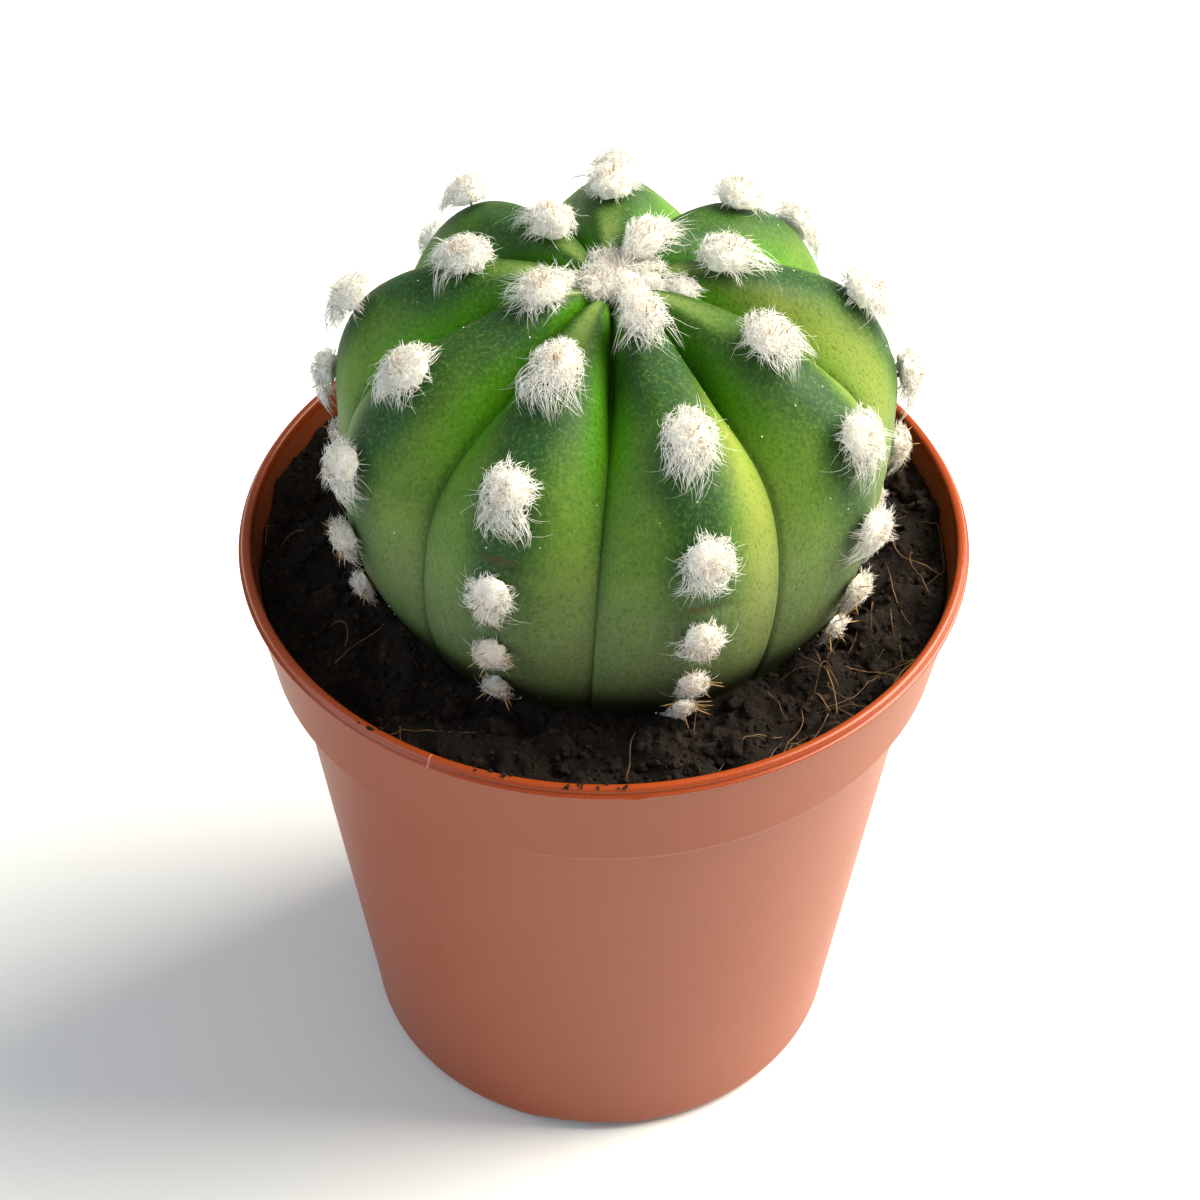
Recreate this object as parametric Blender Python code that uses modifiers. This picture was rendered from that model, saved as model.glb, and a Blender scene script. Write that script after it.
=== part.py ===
"""Potted domino cactus: one ribbed, woolly globe in peat, in a round plastic nursery pot.

Metres, +Z up. The origin is the centre of the ring that the pot stands on, and -Y is the front.
"""

import math
import random

import bmesh
import bpy
import numpy as np
from mathutils import Matrix, Vector, noise

MM = 0.001

# Pot: rim, collar, tapered body and the ring that it stands on
RIM_RADIUS = 42.5 * MM
POT_HEIGHT = 76.5 * MM
COLLAR_HEIGHT = 14.3 * MM
COLLAR_TOP_RADIUS = 41.9 * MM
COLLAR_FOOT_RADIUS = 39.7 * MM
BODY_TOP_RADIUS = 37.3 * MM
BASE_RADIUS = 29.3 * MM
LEDGE_DROP = 1.6 * MM
WALL = 1.2 * MM
LIP_WIDTH = 1.5 * MM
LIP_HEIGHT = 1.25 * MM
LIP_GROOVE_DEPTH = 0.35 * MM
LIP_ROUNDING = 0.5 * MM
LIP_FLANGE_TOP = 0.5 * MM
LIP_FLANGE_EDGE = 0.2 * MM
COLLAR_EDGE_HEIGHT = 0.8 * MM
COLLAR_EDGE_ROUNDING = 0.4 * MM
LEDGE_ROUNDING = 0.3 * MM
BASE_ROUNDING = 2.4 * MM
FOOT_RING_WIDTH = 2.4 * MM
FOOT_RECESS = 1.2 * MM
FOOT_DRAFT = 0.4 * MM
NOTCH_COUNT = 4
NOTCH_WIDTH = 10.0 * MM
NOTCH_LENGTH = 8.0 * MM
NOTCH_HEIGHT = 1.8 * MM
NOTCH_FROM_FRONT = math.radians(-5)
DRAIN_COUNT = 6
DRAIN_RADIUS = 2.8 * MM
DRAIN_CIRCLE = 17.0 * MM
DRAIN_SIDES = 16
TURN_STEPS = 60
ARC_STEPS = 4
ROUND_EDGE_STEPS = 2

# Soil: its level below the rim, lower at the front, and its relief
GAP = 0.3 * MM
SOIL_DEPTH = 4.2 * MM
SOIL_SLOPE = 0.04
LUMP_SIZE = 6.0 * MM
LUMP_HEIGHT = 2.2 * MM
CRUMB_SIZE = 3.2 * MM
CRUMB_HEIGHT = 1.3 * MM
LUMP_FIELD = Vector((3.1, 0.7, 0.0))
CRUMB_FIELD = Vector((9.4, 5.2, 0.0))
RELIEF_FADE = 3.0 * MM
RELIEF_AT_WALL = 0.4
SOIL_RING = 2.0 * MM
SOIL_HIDDEN_RADIUS = 20.6 * MM
HOLE_TOP = 3.0 * MM
HOLE_RINGS = 11

# Cactus body: heights are above the pot's rim
PLANT_CENTRE = Vector((0.6 * MM, 1.3 * MM, 0.0))
PLANT_TURN = math.radians(-1.5)
RIB_TWIST = math.radians(-0.094) / MM
TWIST_MIDDLE = 34 * MM
BULGE = 0.03
BULGE_TOWARDS = math.radians(80)
BODY_RADIUS = 31.7 * MM
EQUATOR_HEIGHT = 15.6 * MM
CROWN_RISE = 20.0 * MM
CROWN_SQUARENESS = 2.55
UNDERSIDE_DROP = 36.6 * MM
UNDERSIDE_SQUARENESS = 2.1
DIMPLE_DEPTH = 1.6 * MM
DIMPLE_RADIUS = 4.0 * MM
NECK_RADIUS = 5.0 * MM
NECK_TIP_RADIUS = 3.4 * MM
NECK_LENGTH = 14.0 * MM
NECK_SUNK = 5.0 * MM
NECK_SIDES = 18
RIB_COUNT = 9
RIB_FACES = 6
BODY_RINGS = 24
RING_CROWDING = 1.25
CREST_ROUNDING = 0.28
CREST_STEP = 0.4 * MM

# Groove depth below the crest at these distances down the rib
GROOVE_STATIONS = (0 * MM, 5 * MM, 9 * MM, 14 * MM, 20 * MM, 30 * MM,
                   36 * MM, 42 * MM, 48 * MM, 56 * MM, 67 * MM)
GROOVE_DEPTHS = (1.6 * MM, 3.0 * MM, 4.5 * MM, 5.9 * MM, 5.7 * MM, 4.3 * MM,
                 3.3 * MM, 2.3 * MM, 1.5 * MM, 0.8 * MM, 0.0)

# How round the rib is between its grooves at these distances: 1 is a ridge with flat flanks
ROUNDNESS_STATIONS = (4 * MM, 9 * MM, 14 * MM, 20 * MM, 28 * MM, 45 * MM, 60 * MM)
RIB_ROUNDNESS = (3.6, 3.6, 2.8, 1.9, 1.3, 1.2, 1.4)

# Areoles: each one grows two ribs on from the one before, in one spiral down the plant
RIBS_PER_STEP = 2
SPIRAL_START = math.radians(140)
FIRST_AREOLE = 5.3 * MM
AREOLE_STEP = 16.0 * MM
AREOLE_SHRINK = 1.03 * MM
RIB_LAG = (2.0 * MM, 4.5 * MM, 2.2 * MM, 0.0, 2.4 * MM, 3.0 * MM, 2.2 * MM, 0.3 * MM, 0.9 * MM)
YOUNG_SHIFTS = {2: -1.2 * MM, 4: -1.0 * MM, 6: -0.6 * MM}
AREOLE_CLEARANCE = 2.4 * MM
AREOLE_MOST = 60

# Wool tufts and spines
TUFT_STATIONS = (14 * MM, 36 * MM, 48 * MM, 62 * MM)
TUFT_RADII = (3.4 * MM, 3.1 * MM, 2.4 * MM, 1.7 * MM)
TUFT_HEIGHT = 0.8
TUFT_LIFT = 0.4
MOUND_SIDES = 8
MOUND_RINGS = 6
MOUND_ROOT = -0.4
LOCK_SHARE = 0.7
LOCK_REACH = (1.15, 1.4)
LOCK_DROOP = 0.35
LONG_LOCKS = 1
LONG_LOCK_RADIUS = 0.24
LONG_LOCK_REACH = (1.7, 2.2)
LONG_LOCK_FAN = 0.7
LONG_LOCK_STRAY = 0.25
LONG_LOCK_LIFT = 0.12
LOCK_SIDES = 3
SPINES_PER_TUFT = 3
SPINE_RADIUS = 0.24 * MM
SPINE_LENGTH = 3.4 * MM
SPINE_REACH = 1.35
SPINE_SPREAD = 0.9
SPINE_FAN = 1.3
SPINE_STRAY = 0.3
SPINE_UNEVENNESS = 0.1
CROWN_WOOL_WIDTH = 13.0 * MM
CROWN_WOOL_DEPTH = 11.0 * MM
CROWN_WOOL_MIDDLE = Vector((1.9 * MM, 0.5 * MM, 0.0))
CROWN_WOOL_TOP = 36.4 * MM
CROWN_WOOL_HEIGHT = 6.0 * MM
SEED = 9

# Colours, as sRGB bytes
TERRACOTTA = (183, 106, 78)
PEAT = (38, 30, 26)
SKIN_GREEN = (74, 122, 50)
WOOL_WHITE = (246, 241, 230)
SPINE_STRAW = (190, 158, 112)
SKIN_SLOT, WOOL_SLOT, SPINE_SLOT = 0, 1, 2


def clear_scene():
    for obj in list(bpy.data.objects):
        bpy.data.objects.remove(obj, do_unlink=True)


def new_collection(name):
    collection = bpy.data.collections.new(name)
    bpy.context.scene.collection.children.link(collection)
    return collection


def linear(byte):
    """Linear value of one sRGB byte."""
    share = byte / 255
    return share / 12.92 if share <= 0.04045 else ((share + 0.055) / 1.055) ** 2.4


def new_material(name, colour, roughness):
    material = bpy.data.materials.new(name)
    material.use_nodes = True
    shader = material.node_tree.nodes["Principled BSDF"]
    rgb = [linear(byte) for byte in colour]
    shader.inputs["Base Color"].default_value = (*rgb, 1.0)
    shader.inputs["Roughness"].default_value = roughness
    shader.inputs["Metallic"].default_value = 0.0
    material.diffuse_color = (*rgb, 1.0)
    return material


def new_object(name, mesh, collection, materials=()):
    for material in materials:
        mesh.materials.append(material)
    obj = bpy.data.objects.new(name, mesh)
    collection.objects.link(obj)
    return obj


def mesh_of(name, shape, slot=0):
    """The mesh of a bmesh, with all its faces in one material slot."""
    for face in shape.faces:
        face.material_index = slot
    mesh = bpy.data.meshes.new(name)
    shape.to_mesh(mesh)
    shape.free()
    return mesh


def shade_round(mesh, sharp_angle=math.radians(35)):
    mesh.shade_smooth()
    mesh.set_sharp_from_angle(angle=sharp_angle)


def arc_points(centre, radius, start, end, steps=ARC_STEPS):
    """Points (radius, height) along an arc; angles are in degrees, anticlockwise from outwards."""
    points = []
    for step in range(steps + 1):
        angle = math.radians(start + (end - start) * step / steps)
        points.append((centre[0] + radius * math.cos(angle), centre[1] + radius * math.sin(angle)))
    return points


def turned(name, profile, collection, materials=()):
    """An object turned round +Z from a profile of (radius, height) points."""
    mesh = bpy.data.meshes.new(name)
    vertices = [(radius, 0.0, height) for radius, height in profile]
    edges = [(index, index + 1) for index in range(len(profile) - 1)]
    mesh.from_pydata(vertices, edges, [])
    obj = new_object(name, mesh, collection, materials)
    screw = obj.modifiers.new("Turn", "SCREW")
    screw.axis = "Z"
    screw.steps = TURN_STEPS
    screw.render_steps = TURN_STEPS
    screw.use_merge_vertices = True
    screw.merge_threshold = 0.05 * MM
    screw.use_smooth_shade = True
    return obj


def settle_modifiers(obj):
    """Replace the object's mesh by its evaluated one and drop the modifiers."""
    bpy.context.view_layer.update()
    graph = bpy.context.evaluated_depsgraph_get()
    mesh = bpy.data.meshes.new_from_object(obj.evaluated_get(graph))
    obj.modifiers.clear()
    obj.data = mesh


def boolean_with(obj, collection, operation, solver="EXACT"):
    modifier = obj.modifiers.new(operation.title(), "BOOLEAN")
    modifier.operation = operation
    modifier.operand_type = "COLLECTION"
    modifier.collection = collection
    modifier.solver = solver


def mark_as_cutter(obj):
    obj.hide_render = True
    obj.display_type = "WIRE"


def wall_slope():
    """How much the tapered body widens per metre of height."""
    body_top = POT_HEIGHT - COLLAR_HEIGHT - LEDGE_DROP
    return (BODY_TOP_RADIUS - BASE_RADIUS) / body_top


def pot_inside():
    """Profile of the pot's inside, from the middle of its floor up to the lip."""
    floor = FOOT_RECESS + WALL
    corner = BASE_RADIUS - WALL + floor * wall_slope() - BASE_ROUNDING
    ledge = POT_HEIGHT - COLLAR_HEIGHT
    points = [(0.0, floor), (corner, floor)]
    points += arc_points((corner, floor + BASE_ROUNDING), BASE_ROUNDING, -75, -5, ROUND_EDGE_STEPS)
    points += [
        (BODY_TOP_RADIUS - WALL, ledge - LEDGE_DROP),
        (COLLAR_FOOT_RADIUS - WALL, ledge),
        (RIM_RADIUS - LIP_WIDTH, POT_HEIGHT - LIP_ROUNDING),
    ]
    return points


def pot_outside():
    """Profile of the lip and of the pot's outside, from the top of the lip to the middle of the underside."""
    lip_face = RIM_RADIUS - LIP_GROOVE_DEPTH
    lip_foot = POT_HEIGHT - LIP_HEIGHT
    ledge = POT_HEIGHT - COLLAR_HEIGHT
    corner = BASE_RADIUS - BASE_ROUNDING
    foot_inside = corner - FOOT_RING_WIDTH
    points = [(RIM_RADIUS - LIP_WIDTH + LIP_ROUNDING, POT_HEIGHT)]
    edge_centre = (lip_face - LIP_ROUNDING, POT_HEIGHT - LIP_ROUNDING)
    points += arc_points(edge_centre, LIP_ROUNDING, 90, 0, ROUND_EDGE_STEPS)
    points += [
        (lip_face, lip_foot + LIP_FLANGE_TOP),
        (RIM_RADIUS, lip_foot + LIP_FLANGE_EDGE),
        (COLLAR_TOP_RADIUS, lip_foot),
        (COLLAR_FOOT_RADIUS, ledge + COLLAR_EDGE_HEIGHT),
        (COLLAR_FOOT_RADIUS - COLLAR_EDGE_ROUNDING, ledge),
        (BODY_TOP_RADIUS + LEDGE_ROUNDING, ledge - LEDGE_DROP + LEDGE_ROUNDING),
        (BODY_TOP_RADIUS, ledge - LEDGE_DROP),
    ]
    points += arc_points((corner, BASE_ROUNDING), BASE_ROUNDING, 5, -90)
    points += [
        (foot_inside, 0.0),
        (foot_inside - FOOT_DRAFT, FOOT_RECESS),
        (0.0, FOOT_RECESS),
    ]
    return points


def make_pot(parts, cutters, plastic):
    pot = turned("pot", pot_inside() + pot_outside(), parts, [plastic])
    cutting = bpy.data.collections.new("pot_cutters")
    cutters.children.link(cutting)
    foot_middle = BASE_RADIUS - BASE_ROUNDING
    for number in range(NOTCH_COUNT):
        angle = NOTCH_FROM_FRONT - math.pi / 2 + math.tau * number / NOTCH_COUNT
        shape = bmesh.new()
        bmesh.ops.create_cube(shape, size=1.0)
        size = Matrix.Diagonal((NOTCH_LENGTH, NOTCH_WIDTH, 2 * NOTCH_HEIGHT, 1.0))
        notch = new_object(f"notch_cutter_{number}", mesh_of("notch", shape), cutting)
        notch.data.transform(size)
        notch.location = (foot_middle * math.cos(angle), foot_middle * math.sin(angle), 0.0)
        notch.rotation_euler.z = angle
        mark_as_cutter(notch)
    for number in range(DRAIN_COUNT):
        angle = math.tau * number / DRAIN_COUNT
        shape = bmesh.new()
        bmesh.ops.create_cone(shape, cap_ends=True, segments=DRAIN_SIDES, radius1=DRAIN_RADIUS,
                              radius2=DRAIN_RADIUS, depth=6 * WALL)
        drain = new_object(f"drain_cutter_{number}", mesh_of("drain", shape), cutting)
        drain.location = (DRAIN_CIRCLE * math.cos(angle), DRAIN_CIRCLE * math.sin(angle), FOOT_RECESS)
        mark_as_cutter(drain)
    boolean_with(pot, cutting, "DIFFERENCE")
    return pot


def crest_curve(samples=600):
    """Distance, radius and height down one rib's crest, from the crown to the middle of the underside."""
    turn = np.linspace(0.0, np.pi, samples + 1)
    upper = turn <= np.pi / 2
    squareness = np.where(upper, CROWN_SQUARENESS, UNDERSIDE_SQUARENESS)
    reach = np.where(upper, CROWN_RISE, -UNDERSIDE_DROP)
    radius = BODY_RADIUS * np.abs(np.sin(turn)) ** (2 / squareness)
    height = EQUATOR_HEIGHT + reach * np.abs(np.cos(turn)) ** (2 / squareness)
    height -= np.where(upper, DIMPLE_DEPTH * np.exp(-((radius / DIMPLE_RADIUS) ** 2)), 0.0)
    steps = np.hypot(np.diff(radius), np.diff(height))
    return np.concatenate([[0.0], np.cumsum(steps)]), radius, height


CREST_ARC, CREST_RADIUS, CREST_HEIGHT = crest_curve()


def crest_at(arc):
    """The crest's (radius, height) this far from the crown, and the (radial, upward) direction out of it."""
    ends = [max(arc - CREST_STEP, 0.0), min(arc + CREST_STEP, CREST_ARC[-1])]
    run = np.diff(np.interp(ends, CREST_ARC, CREST_RADIUS))[0]
    drop = np.diff(np.interp(ends, CREST_ARC, CREST_HEIGHT))[0]
    length = math.hypot(run, drop)
    place = Vector((np.interp(arc, CREST_ARC, CREST_RADIUS), np.interp(arc, CREST_ARC, CREST_HEIGHT)))
    return place, Vector((-drop / length, run / length))


def groove_share(across, arc):
    """How deep the skin lies between crest (0) and groove (1), across being 0 to 1 over half a rib."""
    even = math.hypot(across, CREST_ROUNDING) - CREST_ROUNDING
    even /= math.hypot(1.0, CREST_ROUNDING) - CREST_ROUNDING
    return even ** np.interp(arc, ROUNDNESS_STATIONS, RIB_ROUNDNESS)


def skin_point(azimuth, arc):
    """Point of the skin; azimuth 0 is the middle of the front groove."""
    rib_angle = math.tau / RIB_COUNT
    across = abs((azimuth / rib_angle) % 1.0 - 0.5) * 2
    place, outward = crest_at(arc)
    depth = np.interp(arc, GROOVE_STATIONS, GROOVE_DEPTHS) * groove_share(across, arc)
    radius = max(place.x - depth * outward.x, 0.0)
    return plant_point(azimuth, arc, radius, place.y - depth * outward.y)


def turned_by(azimuth, arc):
    """World angle of a rib's point: the ribs lean a little round the plant on their way down."""
    return azimuth + PLANT_TURN + RIB_TWIST * (arc - TWIST_MIDDLE)


def plant_point(azimuth, arc, radius, height):
    """World place of a point of the plant; angle 0 faces the front, turning to +X."""
    angle = turned_by(azimuth, arc)
    radius *= 1 + BULGE * (1 + math.cos(angle - BULGE_TOWARDS)) / 2
    place = Vector((radius * math.sin(angle), -radius * math.cos(angle), POT_HEIGHT + height))
    return place + PLANT_CENTRE


def make_body(parts, materials):
    """The ribbed skin: a sphere whose rings are moved onto the rib formula."""
    shape = bmesh.new()
    bmesh.ops.create_uvsphere(shape, u_segments=RIB_COUNT * RIB_FACES, v_segments=BODY_RINGS, radius=1.0)
    for vertex in shape.verts:
        share = math.acos(max(-1.0, min(1.0, vertex.co.z))) / math.pi
        azimuth = math.atan2(vertex.co.x, -vertex.co.y)
        vertex.co = skin_point(azimuth, CREST_ARC[-1] * share**RING_CROWDING)
    return new_object("cactus", mesh_of("cactus", shape, SKIN_SLOT), parts, materials)


def hole_profile():
    """Profile of the hole that the plant sits in, its own underside made larger by the gap all round."""
    lower = len(CREST_ARC) // 2
    top_arc = np.interp(SOIL_DEPTH - HOLE_TOP, -CREST_HEIGHT[lower:], CREST_ARC[lower:])
    neck_arc = np.interp(-NECK_RADIUS - GAP, -CREST_RADIUS[lower:], CREST_ARC[lower:])
    points = []
    for arc in np.linspace(top_arc, neck_arc, HOLE_RINGS):
        place, outward = crest_at(arc)
        points.append(((1 + BULGE) * place.x + GAP * outward.x, POT_HEIGHT + place.y + GAP * outward.y))
    points.append((NECK_TIP_RADIUS + 2 * GAP, neck_bottom() - GAP))
    return [(0.0, points[0][1])] + points + [(0.0, points[-1][1])]


def neck_bottom():
    return POT_HEIGHT + CREST_HEIGHT[-1] + NECK_SUNK - NECK_LENGTH


def soil_level(place):
    return POT_HEIGHT - SOIL_DEPTH + SOIL_SLOPE * place.y


def soil_relief(place):
    """Height of the soil's lumps and crumbs at this place, less of them by the wall."""
    flat = Vector((place.x, place.y, 0.0))
    lumps = noise.noise(flat / LUMP_SIZE + LUMP_FIELD) * LUMP_HEIGHT
    crumbs = noise.noise(flat / CRUMB_SIZE + CRUMB_FIELD) * CRUMB_HEIGHT
    from_wall = RIM_RADIUS - LIP_WIDTH - flat.length
    return (lumps + crumbs) * min(1.0, RELIEF_AT_WALL + from_wall / RELIEF_FADE)


def radius_between(low, high, height):
    """Radius at a height on the line between two (radius, height) points."""
    share = (height - low[1]) / (high[1] - low[1])
    return low[0] + share * (high[0] - low[0])


def make_soil(parts, cutters, peat):
    """The peat: the pot's inside less the gap, with relief on top and a hole for the plant."""
    level = POT_HEIGHT - SOIL_DEPTH
    wall = [(radius - GAP, height) for radius, height in pot_inside()[1:]]
    inner, last = wall[-2], wall[-1]
    edge = radius_between(inner, last, level)
    hidden = SOIL_HIDDEN_RADIUS
    rings = int((edge - hidden) / SOIL_RING)
    floor = wall[0][1] + GAP
    profile = [(0.0, level), (hidden - SOIL_RING, level)]
    profile += [(edge - SOIL_RING * (rings - ring), level) for ring in range(rings + 1)]
    profile += list(reversed(wall[1:-1]))
    profile += [(wall[0][0], floor), (0.0, floor)]
    soil = turned("soil", profile, parts, [peat])
    settle_modifiers(soil)
    for vertex in soil.data.vertices:
        if abs(vertex.co.z - level) < GAP:
            vertex.co.z = soil_level(vertex.co) + soil_relief(vertex.co)
            reach = max(vertex.co.xy.length, GAP)
            vertex.co.xy *= min(1.0, radius_between(inner, last, vertex.co.z) / reach)
    cutting = bpy.data.collections.new("soil_cutters")
    cutters.children.link(cutting)
    hole = turned("plant_hole_cutter", hole_profile(), cutting)
    hole.location = PLANT_CENTRE
    mark_as_cutter(hole)
    boolean_with(soil, cutting, "DIFFERENCE")
    return soil


def areoles():
    """Distance from the crown and azimuth of each areole, from the youngest down to the soil."""
    found = []
    for number in range(AREOLE_MOST):
        turns = number / RIB_COUNT
        arc = FIRST_AREOLE + turns * (AREOLE_STEP - AREOLE_SHRINK * turns) + RIB_LAG[number % RIB_COUNT]
        arc += YOUNG_SHIFTS.get(number, 0.0)
        azimuth = SPIRAL_START + number * RIBS_PER_STEP * math.tau / RIB_COUNT
        place, _ = crest_at(arc)
        middle = plant_point(azimuth, arc, place.x, place.y)
        if middle.z > soil_level(middle) + AREOLE_CLEARANCE:
            found.append((arc, azimuth))
    return found


def pointed_lock(start, end, radius, slot):
    """Mesh of one three-sided lock or spine, wide at its start and pointed at its end."""
    shape = bmesh.new()
    length = (end - start).length
    bmesh.ops.create_cone(shape, cap_ends=True, segments=LOCK_SIDES, radius1=radius, radius2=0.0,
                          depth=length)
    turn = (end - start).to_track_quat("Z", "Y").to_matrix().to_4x4()
    bmesh.ops.transform(shape, matrix=Matrix.Translation((start + end) / 2) @ turn, verts=shape.verts)
    return mesh_of("lock", shape, slot)


def wool_mound(centre, axes, size, droop, rng):
    """Mesh of a mound of wool: a dome whose faces are drawn out to pointed locks that droop along its -Y."""
    shape = bmesh.new()
    bmesh.ops.create_uvsphere(shape, u_segments=MOUND_SIDES, v_segments=MOUND_RINGS, radius=1.0)
    shown = [face for face in shape.faces if face.calc_center_median().z > MOUND_ROOT]
    for face in sorted(shown, key=lambda face: face.calc_center_median().to_tuple(3)):
        if rng.random() < LOCK_SHARE:
            tip = bmesh.ops.poke(shape, faces=[face])["verts"][0]
            tip.co = tip.co.normalized() * rng.uniform(*LOCK_REACH)
            tip.co.y -= droop * rng.random() * (LOCK_REACH[0] - abs(tip.co.z))
    frame = Matrix(axes).transposed().to_4x4()
    place = Matrix.Translation(centre) @ frame @ Matrix.Diagonal((*size, 1.0))
    bmesh.ops.transform(shape, matrix=place, verts=shape.verts)
    return mesh_of("wool", shape, WOOL_SLOT)


def areole_frame(arc, azimuth):
    """Place of an areole, and its side, up-slope and outward directions."""
    place, outward = crest_at(arc)
    angle = turned_by(azimuth, arc)
    side = Vector((math.cos(angle), math.sin(angle), 0.0))
    out = Vector((math.sin(angle), -math.cos(angle), 0.0)) * outward.x + Vector((0.0, 0.0, outward.y))
    return plant_point(azimuth, arc, place.x, place.y), side, out.cross(side), out


def tuft_meshes(arc, azimuth, rng):
    """The wool and spines of one areole: a mound of locks, a long one hanging below it, and spines."""
    place, side, up, out = areole_frame(arc, azimuth)
    size = float(np.interp(arc, TUFT_STATIONS, TUFT_RADII))
    middle = place + out * TUFT_LIFT * size
    meshes = [wool_mound(middle, (side, up, out), (size, size, TUFT_HEIGHT * size), LOCK_DROOP, rng)]
    for number in range(LONG_LOCKS):
        swing = (number - (LONG_LOCKS - 1) / 2) * LONG_LOCK_FAN + LONG_LOCK_STRAY * rng.uniform(-1, 1)
        lean = (side * math.sin(swing) - up * math.cos(swing) + out * LONG_LOCK_LIFT).normalized()
        reach = size * rng.uniform(*LONG_LOCK_REACH)
        meshes.append(pointed_lock(middle, middle + lean * reach, size * LONG_LOCK_RADIUS, WOOL_SLOT))
    for number in range(SPINES_PER_TUFT):
        swing = (number - (SPINES_PER_TUFT - 1) / 2) * SPINE_FAN + SPINE_STRAY * rng.uniform(-1, 1)
        lean = (out + (side * math.sin(swing) + up * math.cos(swing)) * SPINE_SPREAD).normalized()
        length = max(SPINE_LENGTH, size * SPINE_REACH) * (1 + SPINE_UNEVENNESS * rng.uniform(-1, 1))
        meshes.append(pointed_lock(place, place + lean * length, SPINE_RADIUS, SPINE_SLOT))
    return meshes


def crown_mesh(rng):
    """The wool of the youngest areoles, a mound that fills the crown between the ribs' tops."""
    top = plant_point(0.0, 0.0, 0.0, CROWN_WOOL_TOP)
    axes = (Vector((1, 0, 0)), Vector((0, 1, 0)), Vector((0, 0, 1)))
    height = CROWN_WOOL_HEIGHT / 2
    size = (CROWN_WOOL_WIDTH / 2, CROWN_WOOL_DEPTH / 2, height)
    return wool_mound(top + CROWN_WOOL_MIDDLE - Vector((0.0, 0.0, height)), axes, size, 0.0, rng)


def neck_mesh():
    """The root neck below the plant, which goes down into the soil."""
    shape = bmesh.new()
    bmesh.ops.create_cone(shape, cap_ends=True, segments=NECK_SIDES, radius1=NECK_TIP_RADIUS,
                          radius2=NECK_RADIUS, depth=NECK_LENGTH)
    centre = PLANT_CENTRE + Vector((0.0, 0.0, neck_bottom() + NECK_LENGTH / 2))
    bmesh.ops.translate(shape, vec=centre, verts=shape.verts)
    return mesh_of("neck", shape, SKIN_SLOT)


def make_cactus(parts, materials):
    """The plant as one body: its skin, with the neck, wool and spines fused to it."""
    rng = random.Random(SEED)
    body = make_body(parts, materials)
    repeats = new_collection("tufts")
    meshes = [neck_mesh(), crown_mesh(rng)]
    for arc, azimuth in areoles():
        meshes += tuft_meshes(arc, azimuth, rng)
    for number, mesh in enumerate(meshes):
        new_object(f"tuft_piece_{number}", mesh, repeats, materials)
    boolean_with(body, repeats, "UNION", "MANIFOLD")
    settle_modifiers(body)
    for obj in list(repeats.objects):
        bpy.data.objects.remove(obj, do_unlink=True)
    bpy.data.collections.remove(repeats)
    shade_round(body.data)
    return body


def main():
    clear_scene()
    parts = new_collection("potted_domino_cactus")
    cutters = new_collection("cutters")
    plastic = new_material("terracotta_plastic", TERRACOTTA, 0.42)
    peat = new_material("peat", PEAT, 0.95)
    skin = new_material("cactus_skin", SKIN_GREEN, 0.5)
    wool = new_material("areole_wool", WOOL_WHITE, 0.9)
    straw = new_material("spine", SPINE_STRAW, 0.55)
    make_pot(parts, cutters, plastic)
    make_soil(parts, cutters, peat)
    make_cactus(parts, [skin, wool, straw])


main()
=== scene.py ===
"""Looks of a potted domino cactus, made round its packed solids.

Metres, +Z up, -Y is the front. Distances named *_ARC, *_ARCS or *_STATIONS run down a rib from the
middle of the crown.
"""

import math

import bpy
import numpy as np
from bpy.props import FloatProperty, FloatVectorProperty, IntProperty, PointerProperty
from mathutils import Matrix, Quaternion, Vector, noise


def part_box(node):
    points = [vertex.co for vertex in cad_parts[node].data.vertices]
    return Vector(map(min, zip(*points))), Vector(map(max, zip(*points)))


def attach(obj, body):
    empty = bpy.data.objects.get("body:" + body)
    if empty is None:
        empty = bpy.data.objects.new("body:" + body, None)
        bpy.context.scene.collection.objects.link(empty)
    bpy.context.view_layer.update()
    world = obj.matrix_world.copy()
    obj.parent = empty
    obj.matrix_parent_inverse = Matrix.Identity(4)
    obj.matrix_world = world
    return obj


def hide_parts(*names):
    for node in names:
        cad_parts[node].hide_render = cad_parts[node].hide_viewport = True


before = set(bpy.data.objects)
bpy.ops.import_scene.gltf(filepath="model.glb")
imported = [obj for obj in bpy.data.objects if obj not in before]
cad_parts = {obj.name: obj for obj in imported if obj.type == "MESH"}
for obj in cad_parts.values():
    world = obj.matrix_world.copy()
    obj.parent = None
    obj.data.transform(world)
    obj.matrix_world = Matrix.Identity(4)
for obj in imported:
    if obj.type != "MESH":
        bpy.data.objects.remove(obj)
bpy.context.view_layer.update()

bl_info = {
    "name": "Potted domino cactus",
    "version": (1, 0, 0),
    "blender": (4, 5, 0),
    "location": "3D View > Sidebar > Cactus",
    "description": "A woolly ribbed cactus in peat, in a round nursery pot",
    "category": "Add Mesh",
}

MM = 0.001
POT_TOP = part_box("pot")[1]
SEED = 21

# Pot
RIM_RADIUS = POT_TOP.x
POT_HEIGHT = POT_TOP.z
COLLAR_TOP_RADIUS = 41.9 * MM
COLLAR_FOOT_RADIUS = 39.7 * MM
COLLAR_EDGE = 0.8 * MM
COLLAR_EASE = 0.6 * MM
BODY_TOP_RADIUS = 37.3 * MM
BASE_RADIUS = 29.3 * MM
BASE_ROUNDING = 2.4 * MM
WALL = 1.2 * MM
LEDGE = POT_HEIGHT - 14.3 * MM
LEDGE_FOOT = LEDGE - 1.6 * MM
LEDGE_FILLET = 1.2 * MM
LIP_WIDTH = 1.5 * MM
LIP_FOOT = POT_HEIGHT - 1.25 * MM
LIP_GROOVE_DEPTH = 0.35 * MM
LIP_ROUNDING = 0.5 * MM
LIP_STEP = 0.05 * MM
FLANGE_TOP = LIP_FOOT + 0.5 * MM
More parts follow.
